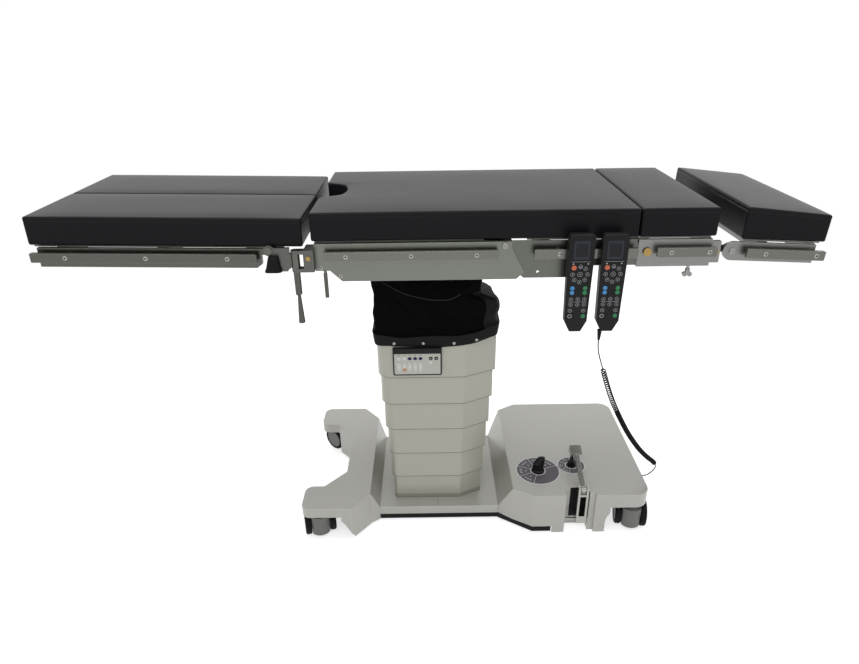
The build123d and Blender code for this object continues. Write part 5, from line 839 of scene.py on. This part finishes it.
def fold_rise(x, height):
    """The soft ridges that run down across the front of the cloth."""
    rise = 0.0
    for fold in FOLDS:
        low, high = fold[2][1], fold[0][1]
        if not low - 0.01 < height < high + 0.01:
            continue
        centre = float(np.interp(height, [p[1] for p in reversed(fold)], [p[0] for p in reversed(fold)]))
        ends = min(1.0, max(0.0, min(height - low, high - height) / 0.012 + 0.5))
        rise = max(rise, bump_at(x, centre, 0.008) * ends)
    return rise


def hem_and_band(x):
    """The heights of the hem and of the band's upper edge."""
    return float(np.interp(x, HEM_X, HEM_Z)), float(np.interp(x, BAND_X, BAND_Z))


def sleeve_reach(place, way, height):
    """How far the cloth stands out from the column at one point of it."""
    x = place.x
    hem, band = hem_and_band(x)
    if height <= band:
        up = (height - hem) / (band - hem)
        return 0.001 + 0.0055 * up ** 0.7
    above = height - band
    settle = 1 - math.exp(-above / 0.004)
    reach = 0.0065 - 0.0115 * settle
    point = Vector((x, place.y, height))
    slow = noise.noise(Vector((x * 18, place.y * 18, height * 11))) * 0.008
    fine = noise.noise(point * 42) * 0.003
    reach += (slow + fine) * min(1.0, above / 0.03)
    reach += max(0.0, -way.x) * 0.006
    if abs(way.y) > 0.5:
        reach += 0.006 * fold_rise(x, height)
        edge = swag_height(x) - height
        swag = 0.02 * math.exp(-max(0.0, -edge) / 0.05) if edge < 0 else 0.02 * bump_at(edge, 0, 0.003)
        reach += swag * abs(way.y)
    return reach


def sleeve_point(place, way, height):
    """A point of the cloth: the right side swells to a shoulder, and is drawn in above it."""
    spot = place + way * sleeve_reach(place, way, height)
    off = spot.x - COLUMN_MID_X
    if off > 0:
        back = min(1.0, max(0.0, (place.y + COLUMN_HALF[1]) / (2 * COLUMN_HALF[1])))
        shelf = SHOULDER_Z[0] + (SHOULDER_Z[1] - SHOULDER_Z[0]) * back
        neck = smooth((height - shelf) / 0.024) * (1 - smooth((height - NECK_TOP) / 0.03))
        swell = bump_at(height, shelf - 0.024, 0.026) * (1 - back)
        spot.x = COLUMN_MID_X + off * (1 + 0.07 * swell - 0.24 * neck)
    return Vector((spot.x, spot.y, height))


def smooth(share):
    """A share held from 0 to 1, with soft ends."""
    share = min(1.0, max(0.0, share))
    return share * share * (3 - 2 * share)


def bend_with_tilt(piece):
    """Bakes the piece's place into its mesh, and gives the piece back."""
    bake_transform(piece)
    return piece


def make_swag_edge(plan, ways):
    """Painted highlight: a pale thin tube along the low edges of the front and rear swags."""
    parts = []
    for _, sign in SIDES:
        path = []
        for place, way in zip(plan, ways):
            if sign * way.y > 0.8 and SWAG_X[0] < place.x < SWAG_X[1]:
                spot = sleeve_point(place, way, swag_height(place.x))
                path.append(spot + Vector((way.x, way.y, 0)) * 0.0008)
        path.sort(key=lambda p: p.x)
        parts.append(tube(path, SWAG_EDGE_R, 8) + (0,))
    return bend_with_tilt(joined_piece("swag_edge_highlight", parts, None, [SWAG_HIGHLIGHT]))


def make_sleeve():
    """The black cloth sleeve between the column's top cover and the seat."""
    plan, ways = column_plan(0.002)
    total = len(plan)
    points = []
    for row in range(SLEEVE_ROWS + 1):
        for place, way in zip(plan, ways):
            hem, band = hem_and_band(place.x)
            height = float(np.interp(row, (0, BAND_ROWS, SLEEVE_ROWS), (hem, band, SLEEVE_TOP)))
            points.append(sleeve_point(place, way, height))
    faces = ring_faces(SLEEVE_ROWS + 1, total)
    indices = []
    # Band rows take the paler band cloth; the right side's lower strip takes it too, as painted light
    for row in range(SLEEVE_ROWS):
        low_row = row < SLEEVE_ROWS * LIT_STRIP_SHARE
        indices += [1 if row < BAND_ROWS or (low_row and place.x > LIT_STRIP_X) else 0 for place in plan]
    piece = new_piece("cloth_sleeve", points, faces, None, [CLOTH, BAND_AND_LIT_CLOTH], indices)
    bend_with_tilt(piece)
    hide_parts("bellows")
    height = SLEEVE_TOP - min(HEM_Z)
    snaps = make_snaps(plan, ways)
    # The swags' low edges get a painted highlight
    painted_swag_highlight = make_swag_edge(plan, ways)


def make_snaps(plan, ways):
    """Press studs along the hem of the sleeve, all round the cover."""
    parts = []

    def stud(x, y, height):
        n = min(range(len(plan)), key=lambda k: (plan[k] - Vector((x, y))).length)
        way = Vector((ways[n].x, ways[n].y, 0))
        parts.append(dome(sleeve_point(plan[n], ways[n], height) - way * 0.0006, way, SNAP_R, SNAP_H) + (0,))

    half_x, half_y = COLUMN_HALF
    for x, height in SNAP_SPOTS:
        for _, sign in SIDES:
            stud(x, sign * half_y, height)
    for y in SNAP_SIDE_Y:
        stud(COLUMN_MID_X - half_x, y, SNAP_SPOTS[0][1])
        stud(COLUMN_MID_X + half_x, y, SNAP_SPOTS[-1][1] + SNAP_SIDE_RISE)
    return joined_piece("sleeve_snaps", parts, "column_head", [BRIGHT_STEEL])


# Flat details on faces that look to -Y
def plate(outline, face_y, rise, bevel=0.3):
    """A thin raised plate with a soft rim, from an (x, z) outline."""
    count = len(outline)
    cx = sum(p[0] for p in outline) / count
    cz = sum(p[1] for p in outline) / count
    points = [Vector((x, face_y, z)) for x, z in outline]
    points += [Vector((x, face_y - rise * (1 - bevel), z)) for x, z in outline]
    for x, z in outline:
        way = Vector((cx - x, cz - z)).normalized() * rise * bevel
        points.append(Vector((x + way.x, face_y - rise, z + way.y)))
    return points, ring_faces(3, count, capped=True)


def disc(x, z, radius, sides=24):
    """A round outline."""
    return [(x + radius * c, z + radius * s) for c, s in circle(sides)]


def pill(x, z, width, height, sides=24):
    """An upright or lying stadium outline."""
    radius = min(width, height) / 2
    out = []
    for c, s in circle(sides):
        dx = math.copysign(max(0.0, width / 2 - radius), c)
        dz = math.copysign(max(0.0, height / 2 - radius), s)
        out.append((x + dx + radius * c, z + dz + radius * s))
    return out


def panel_outline(x0, x1, z0, z1, radius, sides=6):
    """A rectangle with rounded corners."""
    out = []
    for cx, cz, start in (
        (x1 - radius, z1 - radius, 0), (x0 + radius, z1 - radius, 90),
        (x0 + radius, z0 + radius, 180), (x1 - radius, z0 + radius, 270),
    ):
        for n in range(sides + 1):
            angle = math.radians(start + 90 * n / sides)
            out.append((cx + radius * math.cos(angle), cz + radius * math.sin(angle)))
    return out


def hoop(x, z, radius, width, face_y, rise):
    """A raised ring, such as a key's printed outline."""
    return washer(radius, radius - width, rise, 24, lambda u, v, lift: Vector((x + u, face_y - lift, z + v)))


def make_control_panel():
    """The silver keypad face under the black hood, with generic keys."""
    silver, white, blue, black, orange, grey = range(6)
    x0, x1 = PANEL_X
    z0, z1 = PANEL_Z
    top_y = PANEL_FACE_Y - PANEL_RISE
    key_y = top_y - KEY_RISE
    parts = []

    def show(outline, face_y, rise, colour):
        parts.append(plate(outline, face_y, rise) + (colour,))

    face = panel_outline(x0 + PANEL_MARGIN, x1 - PANEL_MARGIN, z0 + PANEL_MARGIN, z1 - PANEL_HOOD, 0.003)
    show(face, PANEL_FACE_Y, PANEL_RISE, silver)
    row_z, pair_z = (z0 + up for up in PANEL_ROWS)
    columns = [x0 + (x1 - x0) * share for share in PANEL_COLUMNS]
    for n, x in enumerate(columns):
        show(pill(x, row_z, 0.0115, 0.0095), top_y, KEY_RISE, white if n < 2 else blue)
        show(pill(x, pair_z, 0.0105, 0.029), top_y, KEY_RISE, white)
        show(pill(x, row_z + 0.0098, 0.0036, 0.0016), top_y, PROUD, black)
        for dz in (PAIR_DZ, -PAIR_DZ):
            colour = orange if n == 1 and dz < 0 else grey
            parts.append(hoop(x, pair_z + dz, 0.0036, 0.0006, key_y, PROUD) + (colour,))
    show(pill(columns[1], pair_z - PAIR_DZ, 0.0098, 0.0115), key_y, PROUD, orange)
    lone, last = (x0 + (x1 - x0) * share for share in PANEL_ROUND_KEYS)
    for x in (lone, last):
        show(disc(x, row_z, 0.0055), top_y, KEY_RISE, black)
        show(disc(x, row_z, 0.0016), key_y, PROUD, white)
    show(disc(lone, row_z - 0.0135, 0.005), top_y, KEY_RISE, white)
    finishes = [SILVER_FACE, KEY_WHITE, KEY_BLUE, KEY_BLACK, KEY_ORANGE, PRINT_GREY]
    joined_piece("keypad_face", parts, "column_head", finishes, smooth=False)


def make_handset_keys(name, centre, body):
    """Screen, printed rings and coloured keys on one handset's front."""
    glass, bezel, print_grey, coral, sky, green, white = range(7)
    face_y = HANDSET_FACE_Y
    top = HANDSET_TOP
    parts = []

    def show(outline, rise, colour, depth=0.0):
        parts.append(plate(outline, face_y + depth, rise) + (colour,))

    def box(half, low, high, radius):
        return panel_outline(centre - half, centre + half, top - low, top - high, radius)

    def ring(dx, drop, radius=0.0052):
        parts.append(hoop(centre + dx, top - drop, radius, 0.0007, face_y, PROUD) + (print_grey,))
        show(disc(centre + dx, top - drop, radius * 0.26, 10), PROUD, print_grey)

    def key(dx, drop, colour, radius=0.0058):
        show(disc(centre + dx, top - drop, radius), KEY_RISE, colour)

    show(box(0.0205, 0.0655, 0.0165, 0.002), 0.0004, bezel, depth=0.001)
    show(box(0.0155, 0.059, 0.023, 0.001), 0.0003, glass, depth=0.0006)
    for low, high in ((0.0712, 0.0706), (0.1818, 0.1812)):
        show(box(0.024, low, high, 0.0002), PROUD, print_grey)
    for dx in (-0.019, 0.019):
        show(disc(centre + dx, top - 0.0765, 0.0016, 12), PROUD, white)
    key(-KEY_X, 0.087, coral, 0.0065)
    for angle in (0, 45, 90, 180, 225, 270, 315):
        ring(0.019 * math.cos(math.radians(angle)), 0.105 - 0.021 * math.sin(math.radians(angle)))
    ring(0, 0.105, 0.0064)
    ring(0, 0.083, 0.0046)
    for drop in (0.143, 0.1555):
        key(-KEY_X, drop, sky)
        key(KEY_X, drop, green)
    for drop in (0.174, 0.189):
        for dx in (-RING_X, 0, RING_X):
            ring(dx, drop)
    for dx in (-RING_X, RING_X):
        ring(dx, 0.206)
    parts.append(hoop(centre - RING_X, top - 0.222, 0.0052, 0.0009, face_y, PROUD) + (white,))
    key(RING_X, 0.222, green)
    finishes = [GLASS, BEZEL, PRINT_GREY, CORAL, SKY, GREEN, MARKING]
    joined_piece(name, parts, body, finishes, smooth=False)


# Dials on the drive cover
def flat_ring(centre, outer, inner):
    """A raised ring that lies on the cover."""
    x, y = centre
    return washer(outer, inner, DIAL_RISE, 72, lambda u, v, lift: Vector((x + u, y + v, COVER_TOP + lift)))


def flat_bar(centre, angle_deg, near, far, width, z, rise):
    """A straight mark that points away from a dial's centre."""
    angle = math.radians(angle_deg)
    way = Vector((math.cos(angle), math.sin(angle), 0))
    side = Vector((-way.y, way.x, 0)) * width / 2
    middle = Vector((centre[0], centre[1], z))
    base = [middle + way * reach + side * sign for reach, sign in ((near, -1), (far, -1), (far, 1), (near, 1))]
    return base + [p + Vector((0, 0, rise)) for p in base], ring_faces(2, 4, capped=True)


def make_dials():
    """White rims, sector lines and small generic marks of both dials."""
    parts = []
    for dial in DIALS:
        centre = dial["centre"]
        outer = dial["radius"]
        inner = dial["knob"] + KNOB_RIM_W
        far = outer - RIM_W

        def mark(angle, start, end, width):
            parts.append(flat_bar(centre, angle, start, end, width, COVER_TOP, DIAL_RISE) + (0,))

        parts.append(flat_ring(centre, outer, far) + (0,))
        parts.append(flat_ring(centre, inner, dial["knob"]) + (0,))
        for angle in dial["lines"]:
            mark(angle, inner, far, LINE_W)
        for a, b in zip(dial["lines"], dial["lines"][1:]):
            for share, length, turns in DIAL_MARKS:
                start = inner + (far - inner) * (share - length / 2)
                end = inner + (far - inner) * (share + length / 2)
                for turn in turns:
                    mark((a + b) / 2 + turn, start, end, MARK_W)
    joined_piece("dial_markings", parts, "base", [MARKING], smooth=False)


def make_knobs():
    """The moulded grip round each dial's knob: a flared skirt, and a waisted handle on the large one."""
    for name, body, dial, levels in (
        ("selector_grip", "selector", DIALS[0], SELECTOR_LEVELS),
        ("lock_grip", "lock_selector", DIALS[1], LOCK_LEVELS),
    ):
        x, y = dial["centre"]
        points = [
            Vector((x + lean + half_x * c, y + half_y * s, COVER_TOP + rise))
            for rise, half_x, half_y, lean in levels for c, s in circle(GRIP_SIDES)
        ]
        faces = ring_faces(len(levels), GRIP_SIDES, capped=True)
        new_piece(name, points, faces, body, [KNOB_PLASTIC])


def make_slot_shade():
    """Painted shade: a black sheet inside the pump's slot, behind its lever."""
    points, faces = plate(panel_outline(*SLOT_SHADE, 0.001), SLOT_BACK_Y, 0.0005)
    new_piece("pump_slot_painted_shade", points, faces, "base", [BLACK_ENAMEL_AND_SHADE], smooth=False)


# Screws and boots
def screw_parts(spots, signs, face=RAIL_FACE, radius=SCREW_R):
    """Raised heads with a hexagon socket painted black as painted shade, at (x, z) spots on the sides of the
    table.
    """
    parts = []
    for x, z in spots:
        for sign in signs:
            out = (0, sign, 0)
            foot = (x, sign * (face - SCREW_SUNK), z)
            top = (x, sign * (face + SCREW_RISE - SCREW_SUNK), z)
            parts.append(dome(foot, out, radius, SCREW_RISE + SCREW_SUNK) + (0,))
            # The socket: a small black hexagon dome, painted shade
            parts.append(dome(top, out, radius * SOCKET_SHARE, SOCKET_RISE, 6) + (1,))
    return parts


def make_screws():
    """The rails' screws, one piece per body, and the seat's two plate screws."""
    sets = (
        ("seat", SEAT_SCREWS, (-1, 1)), ("back", BACK_SCREWS, (-1, 1)), ("head", HEAD_SCREWS, (-1, 1)),
        ("leg_front", LEG_SCREWS, (-1,)), ("leg_rear", LEG_SCREWS, (1,)),
    )
    for body, spots, signs in sets:
        parts = screw_parts(spots, signs)
        if body == "seat":
            parts += screw_parts(PLATE_SCREWS, signs, PLATE_FACE, PLATE_SCREW_R)
        joined_piece(body + "_rail_screws", parts, body, [SCREW_STEEL, BLACK_ENAMEL_AND_SHADE])


def make_boots():
    """The flared rubber boot that hangs under each leg hinge."""
    for word, sign in SIDES:
        points = []
        for share, half_x, half_y in BOOT_LEVELS:
            z = BOOT_Z[1] + (BOOT_Z[0] - BOOT_Z[1]) * share
            x = BOOT_X[0] + (BOOT_X[1] - BOOT_X[0]) * share
            outline = panel_outline(x - half_x, x + half_x, -half_y, half_y, min(half_x, half_y) * BOOT_ROUND)
            points += [Vector((px, sign * BOOT_Y + py, z)) for px, py in outline]
        faces = ring_faces(len(BOOT_LEVELS), len(outline), capped=True)
        new_piece("hinge_boot_" + word, points, faces, "leg_hinge_" + word, [RUBBER])


# Plinth and painted shade lines round the column's covers, and the deck's seam
def foot_outline(name):
    """The outer plan of a cover at its low edge, read off the frame, as a convex loop."""
    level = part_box(name)[0].z + FOOT_SLACK
    low = [v.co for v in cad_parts[name].data.vertices if v.co.z < level]
    spots = sorted({(round(p.x, 5), round(p.y, 5)) for p in low})
    return [spots[n] for n in geometry.convex_hull_2d(spots)]


def band_round(name, height, proud):
    """A flat strip that goes round the foot of one cover, with a bevelled upper edge."""
    outline = foot_outline(name)
    low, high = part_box(name)
    middle = (low + high) / 2
    top = low.z + height
    bevel = low.z + height * 0.85
    rings = ((-BAND_SUNK, low.z), (proud, low.z), (proud, bevel), (proud * 0.4, top), (-BAND_SUNK, top))
    points = []
    for grow, level in rings:
        for x, y in outline:
            way = Vector((x - middle.x, y - middle.y, 0)).normalized()
            points.append(Vector((x, y, level)) + way * grow)
    return points, ring_faces(len(rings), len(outline), looped=True)


def make_column_bands():
    """The plinth and painted shadow line at the column's foot, and a dark band of painted shade under each
    cover's low edge.
    """
    low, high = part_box("column_cover_6")
    parts = [
        band_round("column_cover_6", PLINTH_H, PLINTH_PROUD) + (0,),
        band_round("column_cover_6", SHADE_LINE_H, SHADOW_PROUD) + (1,),
    ]
    near = high.y + SEAM_GAP
    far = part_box("centre_deck")[1].y - SEAM_GAP
    for _, sign in SIDES:
        parts.append(flat_bar((SEAM_X, 0), 90 * sign, near, far, SEAM_W, low.z, SEAM_RISE) + (1,))
    joined_piece("column_plinth_and_painted_shade", parts, "base", [FOOT_PAINT, SEAM_AND_SHADE_PAINT], smooth=False)
    # A dark band of painted shade under each cover's low edge, riding with the cover
    for tier in range(1, 6):
        points, faces = band_round("column_cover_" + str(tier), SHADE_LINE_H, SHADE_LINE_PROUD)
        body = "column_head" if tier == 1 else "cover_" + str(tier)
        new_piece("cover_shade_line_" + str(tier), points, faces, body, [SEAM_AND_SHADE_PAINT], smooth=False)


# Curly cord
def route_points():
    """Points read off the smooth route."""
    curve = bpy.data.curves.new("cord_route", "CURVE")
    curve.dimensions = "3D"
    curve.resolution_u = 24
    spline = curve.splines.new("NURBS")
    spline.points.add(len(CORD_ROUTE) - 1)
    for point, place in zip(spline.points, CORD_ROUTE):
        point.co = (*place, 1.0)
    spline.order_u = 3
    spline.use_endpoint_u = True
    holder = put("cord_route", curve)
    mesh = bpy.data.meshes.new_from_object(holder)
    points = [Vector(v.co) for v in mesh.vertices]
    bpy.data.objects.remove(holder)
    bpy.data.meshes.remove(mesh)
    return points


def along(points):
    """Length from the start to every point."""
    out = [0.0]
    for a, b in zip(points, points[1:]):
        out.append(out[-1] + (b - a).length)
    return out


def place_on(points, lengths, where):
    """A point and a direction on the route at one length."""
    n = int(np.searchsorted(lengths, where))
    n = min(max(n, 1), len(points) - 1)
    share = (where - lengths[n - 1]) / (lengths[n] - lengths[n - 1])
    spot = points[n - 1].lerp(points[n], share)
    before = points[max(n - 2, 0)]
    after = points[min(n + 1, len(points) - 1)]
    return spot, (after - before).normalized()


def wire_path():
    """The whole wire: a plain lead, the curls, and a plain tail to the socket."""
    route = route_points()
    lengths = along(route)
    start = lengths[-1] * CURL_SPAN_SHARE[0]
    end = lengths[-1] * CURL_SPAN_SHARE[1]
    path = [p for p, at in zip(route, lengths) if at < start]
    total = CURLS_OPEN + CURLS_TIGHT
    for step in range(total * CURL_STEPS + 1):
        turns = step / CURL_STEPS
        if turns < CURLS_OPEN:
            share = CURL_OPEN_SHARE * turns / CURLS_OPEN
        else:
            share = CURL_OPEN_SHARE + (1 - CURL_OPEN_SHARE) * (turns - CURLS_OPEN) / CURLS_TIGHT
        spot, way = place_on(route, lengths, start + (end - start) * share)
        across = (Vector((0, 1, 0)) - way * way.y).normalized()
        up = way.cross(across)
        ramp = smooth(min(turns, total - turns))
        angle = 2 * math.pi * turns
        path.append(spot + (across * math.cos(angle) + up * math.sin(angle)) * CURL_R * ramp)
    path += [p for p, at in zip(route, lengths) if at > end]
    return path


def make_cord():
    """The wired handset's cord, which stands for the coil and the tail of the CAD."""
    path = wire_path()
    points, faces = tube(path, WIRE_R, WIRE_SIDES)
    piece = new_piece("curly_cord", points, faces, "base", [CORD_SKIN])
    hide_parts("cord_curl", "cord_tail")
    along(path)[-1]


# Floor, light and camera
def white_glow(tree, strength):
    """A white surface that gives off its own light."""
    return add_node(tree, "Emission", {"Color": WHITE, "Strength": strength}).outputs["Emission"]


def seen_or_mirrored(tree):
    """1 where the camera sees a surface, straight or mirrored in metal, and 0 for its light."""
    rays = add_node(tree, "LightPath").outputs
    kinds = {0: rays["Is Camera Ray"], 1: rays["Is Glossy Ray"]}
    return add_node(tree, "Math", kinds, operation="MAXIMUM").outputs["Value"]


def make_stage():
    """A plain pale floor that keeps the table's shadow, and is white far from it."""
    mesh = bpy.data.meshes.new("floor")
    corners = [(x * FLOOR_REACH, y * FLOOR_REACH, 0) for x, y in ((-1, -1), (1, -1), (1, 1), (-1, 1))]
    mesh.from_pydata(corners, [], [(0, 1, 2, 3)])
    floor = put("floor", mesh)
    pale = bpy.data.materials.new("pale_floor")
    pale.use_nodes = True
    tree = pale.node_tree
    skin = tree.nodes["Principled BSDF"]
    fill_inputs(tree, skin, {"Base Color": (0.9, 0.9, 0.9, 1), "Roughness": 0.95, "Specular IOR Level": 0.1})
    plain = skin.outputs["BSDF"]
    lit = add_node(tree, "AddShader", {0: plain, 1: white_glow(tree, FLOOR_GLOW)}).outputs["Shader"]
    place = add_node(tree, "NewGeometry").outputs["Position"]
    away = add_node(tree, "VectorMath", {0: place}, operation="LENGTH").outputs["Value"]
    span = {"From Min": FLOOR_FADE[0], "From Max": FLOOR_FADE[1], "Value": away}
    fade = add_node(tree, "MapRange", span, interpolation_type="SMOOTHSTEP").outputs["Result"]
    seen = seen_or_mirrored(tree)
    share = add_node(tree, "Math", {0: seen, 1: fade}, operation="MULTIPLY").outputs["Value"]
    near = add_node(tree, "MixShader", {"Fac": seen, 1: plain, 2: lit}).outputs["Shader"]
    both = add_node(tree, "MixShader", {"Fac": share, 1: near, 2: white_glow(tree, 1.0)})
    fill_inputs(tree, tree.nodes["Material Output"], {"Surface": both.outputs["Shader"]})
    mesh.materials.append(pale)


def make_world():
    """A plain pale surround: dim as light, white where it is seen."""
    world = bpy.data.worlds.new("studio")
    bpy.context.scene.world = world
    world.use_nodes = True
    tree = world.node_tree
    dim = tree.nodes["Background"]
    fill_inputs(tree, dim, {"Color": WHITE, "Strength": WORLD_STRENGTH})
    bright = add_node(tree, "Background", {"Color": WHITE, "Strength": 1.0}).outputs["Background"]
    ends = {"Fac": seen_or_mirrored(tree), 1: dim.outputs["Background"], 2: bright}
    both = add_node(tree, "MixShader", ends).outputs["Shader"]
    fill_inputs(tree, tree.nodes["World Output"], {"Surface": both})


def make_lights():
    """Soft rectangular lamps, each with its place, target, size and power."""
    for name, place, target, size, power in LIGHTS:
        lamp = bpy.data.lights.new(name, "AREA")
        lamp.shape = "RECTANGLE"
        lamp.size, lamp.size_y = size
        lamp.energy = power
        holder = put(name, lamp)
        holder.location = place
        holder.rotation_euler = (Vector(target) - Vector(place)).to_track_quat("-Z", "Y").to_euler()


def make_camera():
    """The photo's view, slightly rolled."""
    data = bpy.data.cameras.new("photo_view")
    data.lens = LENS
    camera = put("photo_view", data)
    camera.location = CAMERA_AT
    tilt = Matrix.Rotation(math.radians(90 - CAMERA_DOWN_DEG), 4, "X")
    roll = Matrix.Rotation(math.radians(-CAMERA_ROLL_DEG), 4, "Z")
    camera.rotation_euler = (tilt @ roll).to_euler()
    bpy.context.scene.camera = camera


finish_frame()
make_cushions()
make_sleeve()
make_control_panel()
make_handset_keys("cordless_handset_keys", HANDSET_X[0], "handset_cordless")
make_handset_keys("corded_handset_keys", HANDSET_X[1], "handset_corded")
make_dials()
make_knobs()
make_slot_shade()
make_screws()
make_boots()
make_column_bands()
make_cord()
make_stage()
make_world()
make_lights()
make_camera()
bpy.context.scene.view_settings.view_transform = "Standard"
